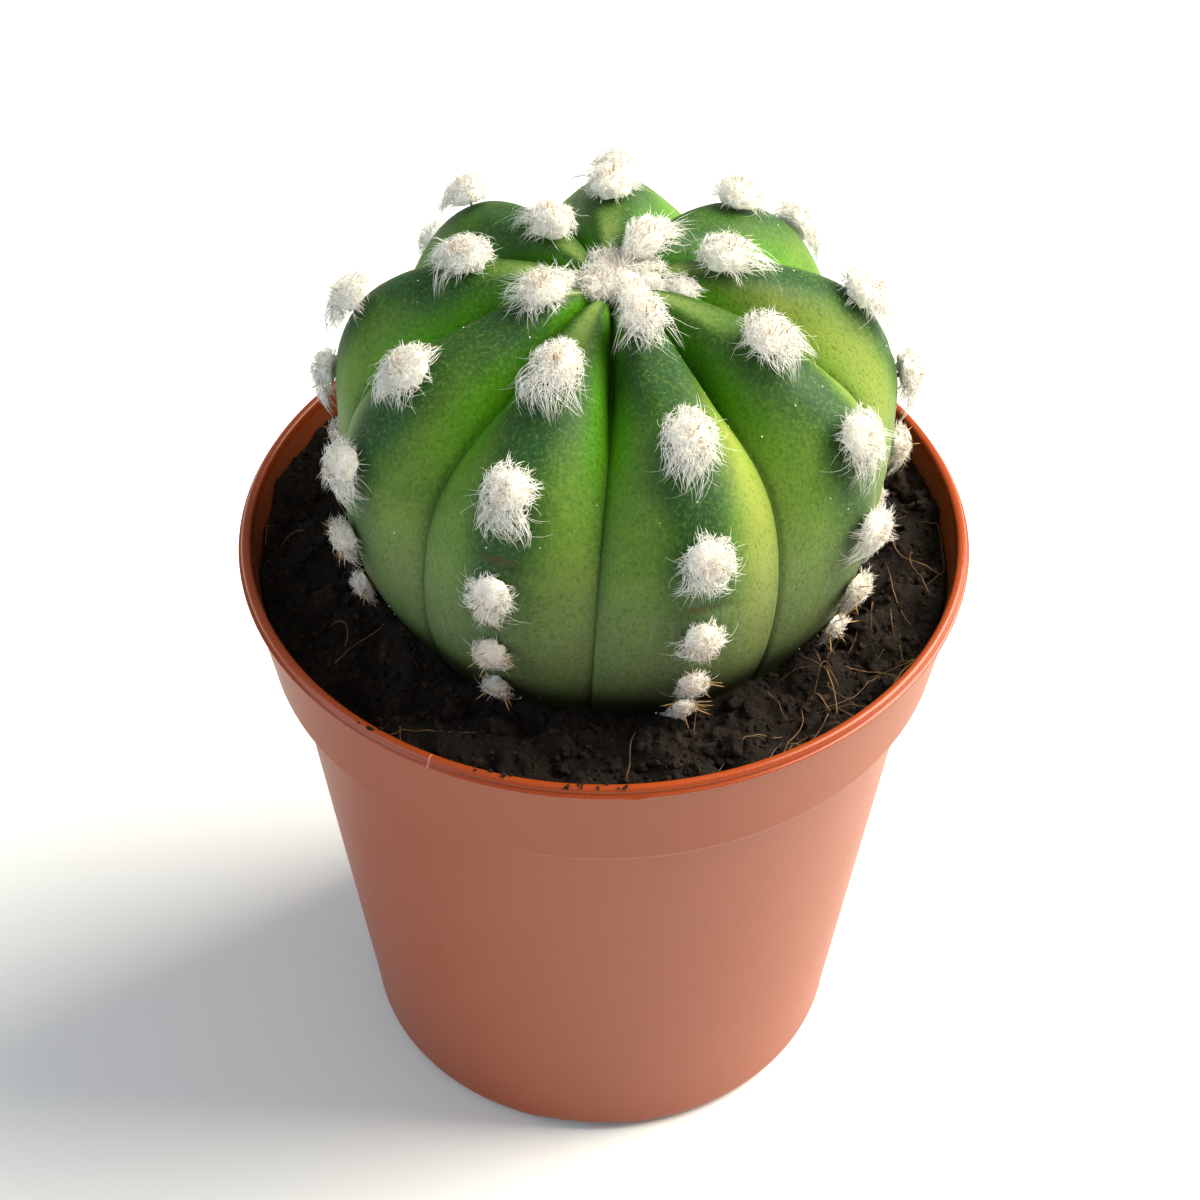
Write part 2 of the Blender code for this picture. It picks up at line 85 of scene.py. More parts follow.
FLANGE_EDGE = 0.2 * MM
FLANGE_BULGE = 0.08 * MM
FOOT_RECESS = 1.2 * MM
FOOT_RING_WIDTH = 2.4 * MM
FOOT_RING_SLOPE = 0.4 * MM
FLOOR = FOOT_RECESS + WALL
FLOOR_CORNER = (BASE_RADIUS - WALL + FLOOR * (BODY_TOP_RADIUS - BASE_RADIUS) / LEDGE_FOOT - BASE_ROUNDING,
                FLOOR + BASE_ROUNDING)
PROFILE_END = 4 * MM
NOTCH_COUNT = 4
NOTCH_SIZE = Vector((8.0, 10.0, 3.6)) * MM
NOTCH_FROM_FRONT = math.radians(-5)
DRAIN_COUNT = 6
DRAIN_RADIUS = 2.8 * MM
DRAIN_CIRCLE = 17.0 * MM
NICK_ANGLE = math.radians(5)
NICK_HEIGHT = 0.25 * MM
NICK_WIDTH = 0.9 * MM
NICK_REACH = 0.25 * MM
SCRATCH_ANGLE = math.radians(-26.5)
SCRATCH_WIDTH = 0.13 * MM

# Peat: each wave of its surface has a size, a height and a place in the noise
SOIL_LEVEL = POT_HEIGHT - 4.2 * MM
SOIL_SLOPE = 0.04
PEAT_WAVES = ((6.0 * MM, 2.2 * MM, Vector((3.1, 0.7, 0.0))),
              (3.2 * MM, 1.3 * MM, Vector((9.4, 5.2, 0.0))))
RELIEF_FADE = 3.0 * MM
RELIEF_AT_WALL = 0.4
RUBBLE_SIZE = 1.9 * MM
RUBBLE_HEIGHT = 1.0 * MM
RUBBLE_MEAN = 0.35
PEAT_GAP = 0.3 * MM
PEAT_INNER_RADIUS = 24.0 * MM
PEAT_HOLE = SOIL_LEVEL - 9 * MM
PEAT_SEGMENTS = 520
PEAT_RINGS = 46

# Loose peat: piece, setting with the count, least and largest size, rarity of the large ones, subdivisions
# and brownness
LOOSE_PEAT = (("peat_clods", "clods", 0.8 * MM, 1.9 * MM, 2.5, 3, 0.15),
              ("peat_crumbs", "crumbs", 0.3 * MM, 0.85 * MM, 2.0, 2, 0.3),
              ("peat_grit", "grit", 0.12 * MM, 0.36 * MM, 1.6, 1, 0.45))
LOOSE_INNER_RADIUS = PEAT_INNER_RADIUS + 3 * MM
LOOSE_OUTER_RADIUS = RIM_RADIUS - LIP_WIDTH - 0.9 * MM
CLOD_KINDS = 9
CLOD_RADIUS = 0.8
CLOD_LUMP_SCALE = 1.2
CLOD_LUMP_HEIGHT = 0.8
CLOD_CRUMBLE_SCALE = 1.6
CLOD_CRUMBLE_HEIGHT = 0.45
CLOD_STRETCH = (0.55, 1.05)
NOISE_FIELD = 50

# Crumbs on the lip: their places are in degrees from the front, to the right
RIM_CRUMBS = (-37, -19, -15, -3, -1, 3)
RIM_CRUMB_SIZES = (0.14 * MM, 0.34 * MM)
RIM_CRUMB_INSETS = (0.2 * MM, 1.1 * MM)

# Coir: each tangle has its direction from +X and its spread, in degrees
FIBRE_TANGLES = ((-26, 8), (-52, 9), (-20, 30), (-35, 22), (90, 70), (200, 40))
FIBRE_STARTS = (31 * MM, 39 * MM)
FIBRE_LENGTHS = (3 * MM, 13 * MM)
FIBRE_RADII = (0.035 * MM, 0.08 * MM)
FIBRE_LIFT = 2.2 * MM
FIBRE_REST = 0.15 * MM
FIBRE_REACH = RIM_RADIUS - LIP_WIDTH - 1.2 * MM

# Plant: heights are above the rim
PLANT_CENTRE = Vector((0.6 * MM, 1.3 * MM, 0.0))
PLANT_TURN = math.radians(-1.5)
RIB_TWIST = math.radians(-0.094) / MM
TWIST_MIDDLE = 34 * MM
BULGE = 0.03
BULGE_TOWARDS = math.radians(80)
BODY_RADIUS = 31.7 * MM
EQUATOR_HEIGHT = 15.6 * MM
CROWN_RISE = 20.0 * MM
CROWN_SQUARENESS = 2.55
UNDERSIDE_DROP = 36.6 * MM
UNDERSIDE_SQUARENESS = 2.1
DIMPLE_DEPTH = 1.6 * MM
DIMPLE_RADIUS = 4.0 * MM
RIB_COUNT = 9
RIB_ANGLE = math.tau / RIB_COUNT
CREST_ROUNDING = 0.28
CREST_STEP = 0.4 * MM
GROOVE_STATIONS = (0 * MM, 5 * MM, 9 * MM, 14 * MM, 20 * MM, 30 * MM,
                   36 * MM, 42 * MM, 48 * MM, 56 * MM, 67 * MM)
GROOVE_DEPTHS = (1.6 * MM, 3.0 * MM, 4.5 * MM, 5.9 * MM, 5.7 * MM, 4.3 * MM,
                 3.3 * MM, 2.3 * MM, 1.5 * MM, 0.8 * MM, 0.0)
ROUNDNESS_STATIONS = (4 * MM, 9 * MM, 14 * MM, 20 * MM, 28 * MM, 45 * MM, 60 * MM)
RIB_ROUNDNESS = (3.6, 3.6, 2.8, 1.9, 1.3, 1.2, 1.4)
SHOWN_ARC = 68 * MM
SHOWN_SHARE = 0.82
RIB_DIVISIONS = 34
SKIN_RINGS = 200
SKIN_WAVE = 9 * MM
SKIN_WAVE_HEIGHT = 0.2 * MM
GROOVE_CROWDING = 0.55
CREASE_DEPTH = 0.28 * MM
CREASE_WIDTH = 0.26 * MM
CREASE_START_ARC = 10 * MM
CREASE_FULL_ARC = 24 * MM
AREOLE_SWELL = 0.3 * MM
FOLD_DEPTH = 0.9 * MM
FOLD_WIDTH = 0.6 * MM
FOLD_CURVE = 0.06 / MM
FOLDS = {25: 1.0, 34: 0.6, 30: 0.7, 41: 0.5, 22: 0.4, 38: 0.8}

# Yellow bands on the flanks, partly the skin's own tint and partly painted light where the key light falls
# on the right-hand flanks: ribs from the front groove, strength, first and last distance down
YELLOW_LIT_STRIPES = ((0.87, 1.0, 16 * MM, 62 * MM), (1.87, 0.6, 8 * MM, 46 * MM), (2.16, 0.65, 10 * MM, 46 * MM),
           (2.87, 0.5, 8 * MM, 40 * MM), (4.87, 0.5, 20 * MM, 50 * MM), (7.87, 0.3, 34 * MM, 58 * MM),
           (8.87, 0.35, 34 * MM, 62 * MM))
STRIPE_WIDTH = 0.13
STRIPE_FADE = 8 * MM
CORK_ARC = 55 * MM
CORK_WIDTH = 1.6 * MM

# Areoles: each one grows two ribs on from the one before, in one spiral down the plant
RIBS_PER_STEP = 2
SPIRAL_START = math.radians(140)
FIRST_AREOLE = 5.3 * MM
AREOLE_STEP = 16.0 * MM
AREOLE_SHRINK = 1.03 * MM
RIB_LAG = (2.0 * MM, 4.5 * MM, 2.2 * MM, 0.0, 2.4 * MM, 3.0 * MM, 2.2 * MM, 0.3 * MM, 0.9 * MM)
YOUNG_SHIFTS = {2: -1.2 * MM, 4: -1.0 * MM, 6: -0.6 * MM}
AREOLE_CLEARANCE = 2.4 * MM
AREOLE_MOST = 60
TUFT_STATIONS = (14 * MM, 36 * MM, 48 * MM, 62 * MM)
TUFT_RADII = (3.4 * MM, 3.15 * MM, 2.5 * MM, 1.6 * MM)
PATCH_RADIUS_LEAST = 7 * MM
DRAPED_ARC = 40 * MM
PULLED_ARCS = (14 * MM, 24 * MM)
GROWN_ARCS = (10 * MM, 18 * MM)
OLD_ARCS = (44 * MM, 51 * MM)

# Wool: lengths without MM are shares of a tuft's size
DOWNHILL = np.array((0.0, 1.0, -0.3))
MOUND_RADII = (0.9, 0.88, 0.72)
MOUND_MIDDLE = (0.0, -0.22, 0.5)
MOUND_SIDES = 20
MOUND_RINGS = 10
MOUND_LEAN = math.radians(115)
CORE_SWELL = 0.7
CORE_LUMPS = 0.16
FUZZ_ROOT = 0.72
MIDDLE_WIDTH = 0.32
HAIR_SIDES = 3
HAIR_CLEARANCE = 0.05
STRAY_CLEARANCE = 0.04
TUFT_RECIPE = {"standing": 0.7, "reach": (0.3, 0.55), "lying": 0.8, "travel": (0.3, 0.7)}
CROWN_RECIPE = {"standing": 0.8, "reach": (0.25, 0.5), "lying": 0.5, "travel": (0.3, 0.8)}

# Crown: each mound has its places across and back and its size, in millimetres
CROWN_MOUNDS = ((-1.8, -0.3, 3.8), (2.0, 0.5, 3.9), (5.4, 0.3, 3.3), (8.2, -0.9, 2.3),
                (3.4, 3.9, 3.4), (-0.4, 3.4, 3.4), (2.6, -3.2, 2.8))
CROWN_MOUND_SINK = 0.08
CROWN_WOOL_TOP = 36.4 * MM

# Flakes and spines
FLAKE_COUNT = 260
FLAKE_SIZES = (0.05 * MM, 0.15 * MM)
FLAKE_LIFT = 0.03 * MM
SPINE_RADIUS = 0.15 * MM
SPINE_ROOT = 0.1 * MM
SPINY_SIZE_LEAST = 2.2 * MM
SPREAD_ARCS = (38 * MM, 56 * MM)

# Camera, fitted to the photograph: its frame is 1200 pixels wide
FRAME_PIXELS = 1200
SENSOR = 36.0
FOCAL_PIXELS = 3285
FRAME_CENTRE = (604.1, 524.5)
CAMERA_DISTANCE = 9 * RIM_RADIUS
CAMERA_ROLL = math.radians(0.41)

# Lights: name and setting with the power, width and height, place, colour
LIGHTS = (("key", (0.65, 0.65), (0.55, 0.15, 0.55), (1.0, 0.95, 0.8)),
          ("fill", (0.5, 0.6), (-0.6, -0.25, 0.35), (0.66, 0.86, 1.0)))
LIGHT_TARGET = Vector((0.0, 0.0, 0.05))


def linear(red, green, blue):
    """A colour given as sRGB bytes, as the linear values that shaders take."""
    shares = np.array((red, green, blue)) / 255
    return tuple(np.where(shares <= 0.04045, shares / 12.92, ((shares + 0.055) / 1.055) ** 2.4))


SCRATCHED_PLASTIC = linear(226, 170, 140)
PEAT_GRAIN = linear(140, 118, 90)
CHALK = linear(104, 124, 86)
PALE_GRAIN = linear(122, 146, 66)
DARK_GRAIN = linear(24, 50, 10)
# Painted shade: dark green laid along the bottom of each groove's crease
CREASE_SHADE = linear(34, 70, 12)
# Near-black colour of the plant's lowest band above the peat: partly soil stain, partly painted shade where
# the body's underside meets the peat
UNDERSIDE_STAIN_AND_SHADE = linear(22, 24, 8)


def colour_property(name, text, red, green, blue):
    return FloatVectorProperty(name=name, description=text, subtype="COLOR", min=0.0, max=1.0,
                               default=linear(red, green, blue))


class PotSettings(bpy.types.PropertyGroup):
    """Sizes and colours of the nursery pot."""
    segments: IntProperty(name="Segments", description="Sides of the turned pot", default=288, min=24)
    lip_width: FloatProperty(name="Lip width", description="Width of the rolled lip's flat top",
                             default=LIP_WIDTH, unit="LENGTH")
    plastic: colour_property("Plastic", "Colour of the pot's wall", 138, 66, 35)
    lip: colour_property("Lip", "Colour of the polished lip", 142, 56, 16)
    roughness: FloatProperty(name="Roughness", description="Roughness of the satin wall",
                             default=0.42, min=0.0, max=1.0, subtype="FACTOR")


class PeatSettings(bpy.types.PropertyGroup):
    """Amounts and colours of the peat, its clods and its fibres."""
    clods: IntProperty(name="Clods", description="Clods that lie on the peat", default=150, min=0)
    crumbs: IntProperty(name="Crumbs", description="Crumbs between the clods", default=1000, min=0)
    grit: IntProperty(name="Grit", description="Small sharp grains", default=3000, min=0)
    fibres: IntProperty(name="Fibres", description="Loose coir fibres", default=60, min=0)
    dark: colour_property("Dark peat", "Colour of most of the peat", 34, 27, 22)
    brown: colour_property("Brown peat", "Colour of the drier crumbs", 78, 60, 46)
    coir: colour_property("Coir", "Colour of the fibres", 132, 96, 56)


class SkinSettings(bpy.types.PropertyGroup):
    """Colours of the cactus's skin, with its painted shade and painted light."""
    green: colour_property("Green", "Colour of most of the skin", 56, 92, 26)
    deep: colour_property("Deep green", "Colour of the darker blotches", 36, 70, 16)
    flank: colour_property("Flank", "Colour of the middle of the ribs' flanks", 102, 133, 48)
    # Partly the grooves' own saturated green, partly painted light: made brighter than the skin round it to
    # stand in for light in the grooves
    valley_green_and_light: colour_property("Valley", "Colour down in the grooves of the crown", 74, 140, 0)
    crest: colour_property("Crest", "Colour of the ribs' crests on the crown", 128, 146, 80)
    # Painted shade: bluish colour put round and below each tuft, where its wool shades the skin
    shade: colour_property("Shade", "Bluish colour round the tufts", 30, 64, 32)
    foot: colour_property("Foot", "Greyish colour low on the plant", 100, 112, 78)
    # Partly painted light: the yellow of the bands beside the grooves, strongest on flanks that face the key
    # light
    stripe: colour_property("Stripe", "Yellow colour beside the grooves", 132, 140, 58)
    cork: colour_property("Cork", "Colour of scars and of the corky edge", 100, 84, 46)


class WoolSettings(bpy.types.PropertyGroup):
    """Amount and colours of the wool and the spines."""
    hairs: IntProperty(name="Hairs", description="Hairs on the largest tuft", default=430, min=10)
    thickness: FloatProperty(name="Thickness", description="Radius of a hair at its root",
                             default=0.038 * MM, unit="LENGTH", precision=6)
    white: colour_property("White", "Colour of clean wool", 251, 248, 241)
    tan: colour_property("Tan", "Colour of old wool and of a tuft's middle", 202, 168, 128)
    spine: colour_property("Spine", "Colour of the spines", 172, 132, 80)


class StageSettings(bpy.types.PropertyGroup):
    """Floor, camera and lights."""
    floor: colour_property("Floor", "Colour of the floor", 232, 232, 231)
    elevation: FloatProperty(name="Elevation", description="Height of the camera above the horizon",
                             default=math.radians(42.45), subtype="ANGLE")
    key: FloatProperty(name="Key light", description="Power of the large light on the right",
                       default=20.5, unit="POWER")
    fill: FloatProperty(name="Fill light", description="Power of the cool light on the left",
                        default=2.4, unit="POWER")
    sky: FloatProperty(name="Sky", description="Strength of the even light all round", default=0.43)


class Socket:
    """An output of a shader node that takes part in Python expressions on numbers."""

    def __init__(self, finish, output):
        self.finish = finish
        self.output = output

    def _math(self, operation, *values):
        return self.finish.node("ShaderNodeMath", {"operation": operation}, dict(enumerate(values)))

    def __add__(self, other):
        return self._math("ADD", self, other)

    def __sub__(self, other):
        return self._math("SUBTRACT", self, other)

    def __rsub__(self, other):
        return self._math("SUBTRACT", other, self)

    def __mul__(self, other):
        return self._math("MULTIPLY", self, other)

    __radd__ = __add__
    __rmul__ = __mul__

    def step(self, low, high):
        """Smooth step from 0 at low to 1 at high; low may be the larger."""
        if low > high:
            return 1 - self.step(high, low)
        return self.finish.node("ShaderNodeMapRange", {"interpolation_type": "SMOOTHSTEP"},
                                {"Value": self, "From Min": low, "From Max": high})


class Finish:
    """A material whose nodes are added by Python expressions."""

    def __init__(self, name, roughness=0.5, **constants):
        self.material = bpy.data.materials.new(name)
        self.material.use_nodes = True
        self.tree = self.material.node_tree
        self.shader = self.tree.nodes["Principled BSDF"]
        self.shader.inputs["Roughness"].default_value = roughness
        for socket, value in constants.items():
            self.shader.inputs[socket.replace("_", " ")].default_value = value

    def node(self, kind, settings=None, values=None, output=0):
        made = self.tree.nodes.new(kind)
        for name, value in (settings or {}).items():
            setattr(made, name, value)
        for name, value in (values or {}).items():
            self.feed(made.inputs[name], value)
        return Socket(self, made.outputs[output])

    def feed(self, target, value):
        if isinstance(value, Socket):
            self.tree.links.new(value.output, target)
        elif target.type == "RGBA" and len(value) == 3:
            target.default_value = (*value, 1.0)
        else:
            target.default_value = value

    def place(self, scale=(1, 1, 1)):
        """Object coordinates, stretched."""
        raw = self.node("ShaderNodeTexCoord", output="Object")
        return self.node("ShaderNodeMapping", {}, {"Vector": raw, "Scale": scale})

    def noise(self, size, detail=3.0, roughness=0.55, scale=(1, 1, 1)):
        """Noise of 0 to 1 whose blobs are about this size in metres."""
        return self.node("ShaderNodeTexNoise", {}, {
            "Vector": self.place(scale), "Scale": 0.5 / size, "Detail": detail, "Roughness": roughness})

    def cells(self, size, scale):
        """Distance to the nearest of scattered points, in cells of this size in metres."""
        return self.node("ShaderNodeTexVoronoi", {}, {"Vector": self.place(scale), "Scale": 1 / size})

    def attribute(self, name):
        return self.node("ShaderNodeAttribute", {"attribute_name": name}, output="Fac")

    def mix(self, first, second, share):
        """One colour over another."""
        made = self.tree.nodes.new("ShaderNodeMix")
        made.data_type = "RGBA"
        for socket, value in ((0, share), (6, first), (7, second)):
            self.feed(made.inputs[socket], value)
        return Socket(self, made.outputs[2])

    def paint(self, colour):
        self.feed(self.shader.inputs["Base Color"], colour)

    def roughen(self, value):
        self.feed(self.shader.inputs["Roughness"], value)

    def emboss(self, height, depth):
        """Bump of this depth in metres."""
        bump = self.node("ShaderNodeBump", {}, {"Height": height, "Distance": depth, "Strength": 1.0})
        self.feed(self.shader.inputs["Normal"], bump)


def settle(piece, finish, slot, *replaced):
    """Give a finished piece its material and its place in the model."""
    piece.data.materials.clear()
    piece.data.materials.append(finish.material)
    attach(piece, "root")
    if replaced:
        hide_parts(*replaced)


def mesh_piece(name, vertices, *groups, smooth=True):
    """An object from (n, 3) places and arrays of faces, one array for each number of corners."""
    corners = np.concatenate([group.ravel() for group in groups])
    sizes = np.concatenate([np.full(len(group), group.shape[1]) for group in groups])
    mesh = bpy.data.meshes.new(name)
    mesh.vertices.add(len(vertices))
    mesh.vertices.foreach_set("co", np.asarray(vertices, np.float32).ravel())
    mesh.loops.add(len(corners))
    mesh.loops.foreach_set("vertex_index", corners.astype(np.int32))
    mesh.polygons.add(len(sizes))
    mesh.polygons.foreach_set("loop_start", (np.cumsum(sizes) - sizes).astype(np.int32))
    mesh.polygons.foreach_set("use_smooth", np.full(len(sizes), smooth))
    mesh.update(calc_edges=True)
    piece = bpy.data.objects.new(name, mesh)
    bpy.context.scene.collection.objects.link(piece)
    return piece


def mark(piece, name, values):
    """Store one number for each vertex."""
    layer = piece.data.attributes.new(name, "FLOAT", "POINT")
    layer.data.foreach_set("value", np.asarray(values, np.float32))


def places_of(piece):
    places = np.empty(len(piece.data.vertices) * 3, np.float32)
    piece.data.vertices.foreach_get("co", places)
    return places.reshape(-1, 3).astype(float)


def move_to(piece, places):
    piece.data.vertices.foreach_set("co", np.asarray(places, np.float32).ravel())
    piece.data.update()


def deselect_all():
    for obj in bpy.context.selected_objects:
        obj.select_set(False)


def bell(distance, width):
    """1 at a distance of 0, about a third at this width, and 0 far out."""
    return np.exp(-((distance / width) ** 2))


def arc_points(centre, radius, start, end, steps=5):
    """Points (radius, height) along an arc; angles are in degrees, anticlockwise from outwards."""
    angles = np.radians(np.linspace(start, end, steps + 1))
    return [(centre[0] + radius * math.cos(angle), centre[1] + radius * math.sin(angle)) for angle in angles]


def turned_by_hand(name, profile, segments):
    """A closed round piece: a circle, extruded and scaled ring by ring along the profile."""
    deselect_all()
    radius, height = profile[0]
    bpy.ops.mesh.primitive_circle_add(vertices=segments, radius=radius, location=(0.0, 0.0, height))
    piece = bpy.context.active_object
    piece.name = name
    bpy.ops.object.transform_apply(location=True, rotation=True, scale=True)
    bpy.ops.object.mode_set(mode="EDIT")
    bpy.ops.mesh.select_all(action="SELECT")
    bpy.ops.mesh.edge_face_add()
    bpy.ops.mesh.select_all(action="SELECT")
    for ring, (new_radius, new_height) in enumerate(profile[1:]):
        if ring == 0:
            bpy.ops.mesh.select_mode(type="EDGE")
        bpy.ops.mesh.extrude_edges_move(
            TRANSFORM_OT_translate={"value": (0.0, 0.0, new_height - height)})
        factor = new_radius / radius
        bpy.ops.transform.resize(value=(factor, factor, 1.0), center_override=(0.0, 0.0, new_height))
        radius, height = new_radius, new_height
    bpy.ops.mesh.edge_face_add()
    bpy.ops.mesh.select_all(action="SELECT")
    bpy.ops.mesh.normals_make_consistent(inside=False)
    bpy.ops.object.mode_set(mode="OBJECT")
    return piece


def cut_away(piece, cutters):
    """Cut joined cutters out of a piece, as one applied Boolean."""
    deselect_all()
    for cutter in cutters:
        cutter.select_set(True)
    bpy.context.view_layer.objects.active = cutters[0]
    bpy.ops.object.join()
    cutter = bpy.context.active_object
    deselect_all()
    piece.select_set(True)
    bpy.context.view_layer.objects.active = piece
    cut = piece.modifiers.new("Cut", "BOOLEAN")
    cut.operation = "DIFFERENCE"
    cut.object = cutter
    bpy.ops.object.modifier_apply(modifier=cut.name)
    bpy.data.objects.remove(cutter, do_unlink=True)


def pot_profile(lip_width):
    """(radius, height) from the inside of the floor over the lip and down to the underside."""
    lip_face = RIM_RADIUS - LIP_GROOVE_DEPTH
    lip_top = POT_HEIGHT - LIP_ROUNDING
    base_corner = BASE_RADIUS - BASE_ROUNDING
    foot_inside = base_corner - FOOT_RING_WIDTH
    return [
        (PROFILE_END, FLOOR),
        *arc_points(FLOOR_CORNER, BASE_ROUNDING, -90, -5),
        (BODY_TOP_RADIUS - WALL, LEDGE_FOOT),
        (COLLAR_FOOT_RADIUS - WALL, LEDGE),
        *arc_points((RIM_RADIUS - lip_width + LIP_ROUNDING, lip_top), LIP_ROUNDING, 180, 90),
        *arc_points((lip_face - LIP_ROUNDING, lip_top), LIP_ROUNDING, 90, 0),
        (lip_face - LIP_STEP, FLANGE_TOP + 3 * LIP_STEP),
        (lip_face + FLANGE_BULGE, FLANGE_TOP - LIP_STEP),
        *arc_points((RIM_RADIUS - FLANGE_EDGE, LIP_FOOT + FLANGE_EDGE), FLANGE_EDGE, 80, -80, 6),
        (COLLAR_TOP_RADIUS, LIP_FOOT - LIP_STEP),
        (COLLAR_TOP_RADIUS - LIP_STEP, LIP_FOOT - COLLAR_EASE),
        *arc_points((COLLAR_FOOT_RADIUS - COLLAR_EDGE, LEDGE + COLLAR_EDGE), COLLAR_EDGE, 8, -62),
        *arc_points((BODY_TOP_RADIUS + LEDGE_FILLET, LEDGE_FOOT), LEDGE_FILLET, 110, 175),
        *arc_points((base_corner, BASE_ROUNDING), BASE_ROUNDING, 5, -90, 8),
        (foot_inside, 0.0),
        (foot_inside - FOOT_RING_SLOPE, FOOT_RECESS),
        (PROFILE_END, FOOT_RECESS),
    ]


def pot_cutters():
    """Blocks for the foot's notches and pins for the drain holes."""
    cutters = []
    middle = BASE_RADIUS - BASE_ROUNDING
    for number in range(NOTCH_COUNT):
        angle = NOTCH_FROM_FRONT - math.pi / 2 + math.tau * number / NOTCH_COUNT
        bpy.ops.mesh.primitive_cube_add(size=1.0, scale=NOTCH_SIZE, rotation=(0.0, 0.0, angle),
                                        location=(middle * math.cos(angle), middle * math.sin(angle), 0.0))
        cutters.append(bpy.context.active_object)
    for number in range(DRAIN_COUNT):
        angle = math.tau * number / DRAIN_COUNT
        place = (DRAIN_CIRCLE * math.cos(angle), DRAIN_CIRCLE * math.sin(angle), FOOT_RECESS)
        bpy.ops.mesh.primitive_cylinder_add(vertices=40, radius=DRAIN_RADIUS, depth=6 * WALL, location=place)
        cutters.append(bpy.context.active_object)
    return cutters


def nick_flange(places):
    """Add the small mould nick, a nub under the lip's flange."""
    outside = np.hypot(places[:, 0], places[:, 1]) > RIM_RADIUS - NICK_REACH
    flange = outside & (places[:, 2] < FLANGE_TOP)
    along = (np.arctan2(places[:, 0], -places[:, 1]) - NICK_ANGLE) * RIM_RADIUS
    places[:, 2] -= bell(along, NICK_WIDTH) * flange * NICK_HEIGHT
    return places


def pot_finish(settings):
    finish = Finish("terracotta_plastic", Specular_IOR_Level=0.35)
    place = finish.place()
    x, y, height = (finish.node("ShaderNodeSeparateXYZ", {}, {0: place}, output=axis) for axis in "XYZ")
    mottle = finish.noise(6 * MM, detail=4)
    grain = finish.noise(0.3 * MM, detail=2)
    streaks = finish.noise(1.5 * MM, detail=3, scale=(1, 1, 0.06))
    lip = height.step(LIP_FOOT - 0.1 * MM, LIP_FOOT + 0.1 * MM)
    off_line = x * math.cos(SCRATCH_ANGLE) + y * math.sin(SCRATCH_ANGLE)
    scratch = (off_line * off_line).step(SCRATCH_WIDTH**2, 0.0) * y.step(0.0, -5 * MM) * lip
    dusty = tuple(0.92 * part + 0.02 for part in settings.plastic)
    wall = finish.mix(settings.plastic, dusty, mottle.step(0.35, 0.8) * 0.5 + streaks.step(0.55, 0.8) * 0.2)
    finish.paint(finish.mix(finish.mix(wall, settings.lip, lip), SCRATCHED_PLASTIC, scratch * 0.4))
    finish.roughen(settings.roughness + (mottle - 0.5) * 0.12 + (grain - 0.5) * 0.1 - lip * 0.14)
    finish.emboss(grain * 0.6 + streaks * 0.4, 0.025 * MM)
    return finish


class CACTUS_OT_make_pot(bpy.types.Operator):
    """Turn the nursery pot, with its lip, collar, foot notches and drain holes"""
    bl_idname = "cactus.make_pot"
    bl_label = "Pot"

    def execute(self, context):
        settings = context.scene.cactus_pot
        pot = turned_by_hand("nursery_pot", pot_profile(settings.lip_width), settings.segments)
        deselect_all()
        cut_away(pot, pot_cutters())
        move_to(pot, nick_flange(places_of(pot)))
        bpy.ops.object.shade_smooth_by_angle(angle=math.radians(32))
        settle(pot, pot_finish(settings), "pot_plastic", "pot")
        return {"FINISHED"}


def soil_level(y):
    return SOIL_LEVEL + SOIL_SLOPE * y


def peat_height(x, y):
    """Height of the peat's surface, with lumps, crumbs and rubble."""
    flat = Vector((x, y, 0.0))
    relief = sum(height * noise.noise(flat / size + field) for size, height, field in PEAT_WAVES)
    from_wall = RIM_RADIUS - LIP_WIDTH - flat.length
    relief *= min(1.0, RELIEF_AT_WALL + from_wall / RELIEF_FADE)
    relief += RUBBLE_HEIGHT * (noise.turbulence(flat / RUBBLE_SIZE, 4, True) - RUBBLE_MEAN)
    return soil_level(y) + relief


def peat_wall_radius(height):
    """The pot's inner radius at a height near its lip, less the gap."""
    share = (height - LEDGE) / (POT_HEIGHT - LIP_ROUNDING - LEDGE)
    collar_foot = COLLAR_FOOT_RADIUS - WALL
    return collar_foot + share * (RIM_RADIUS - LIP_WIDTH - collar_foot) - PEAT_GAP


def peat_profile():
    """(radius, height) from the hole under the plant over the surface and down to the pot's floor."""
    surface = np.linspace(PEAT_INNER_RADIUS, peat_wall_radius(SOIL_LEVEL), PEAT_RINGS)
    corner = reversed(arc_points(FLOOR_CORNER, BASE_ROUNDING, -90, -5))
    return [
        (PROFILE_END, PEAT_HOLE),
        (PEAT_INNER_RADIUS, PEAT_HOLE),
        *((radius, SOIL_LEVEL) for radius in surface),
        (COLLAR_FOOT_RADIUS - WALL - PEAT_GAP, LEDGE),
        (BODY_TOP_RADIUS - WALL - PEAT_GAP, LEDGE_FOOT),
        *((radius - PEAT_GAP, height + PEAT_GAP) for radius, height in corner),
        (PROFILE_END, FLOOR + PEAT_GAP),
    ]


def peat_finish(name, settings):
    """Nearly black, crumbly and dull; a vertex's tone makes it browner."""
    finish = Finish(name, roughness=0.95, Specular_IOR_Level=0.2)
    tone = finish.attribute("tone")
    blotch = finish.noise(1.8 * MM, detail=5, roughness=0.65)
    fine = finish.noise(0.26 * MM, detail=4, roughness=0.75)
    brownness = tone + blotch.step(0.5, 0.75) * 0.4
    base = finish.mix(settings.dark, settings.brown, brownness * fine.step(0.35, 0.65))
    finish.paint(finish.mix(base, PEAT_GRAIN, fine.step(0.62, 0.74) * (tone * 0.6 + 0.2)))
    finish.emboss(fine + blotch * 0.5, 1.0 * MM)
    return finish


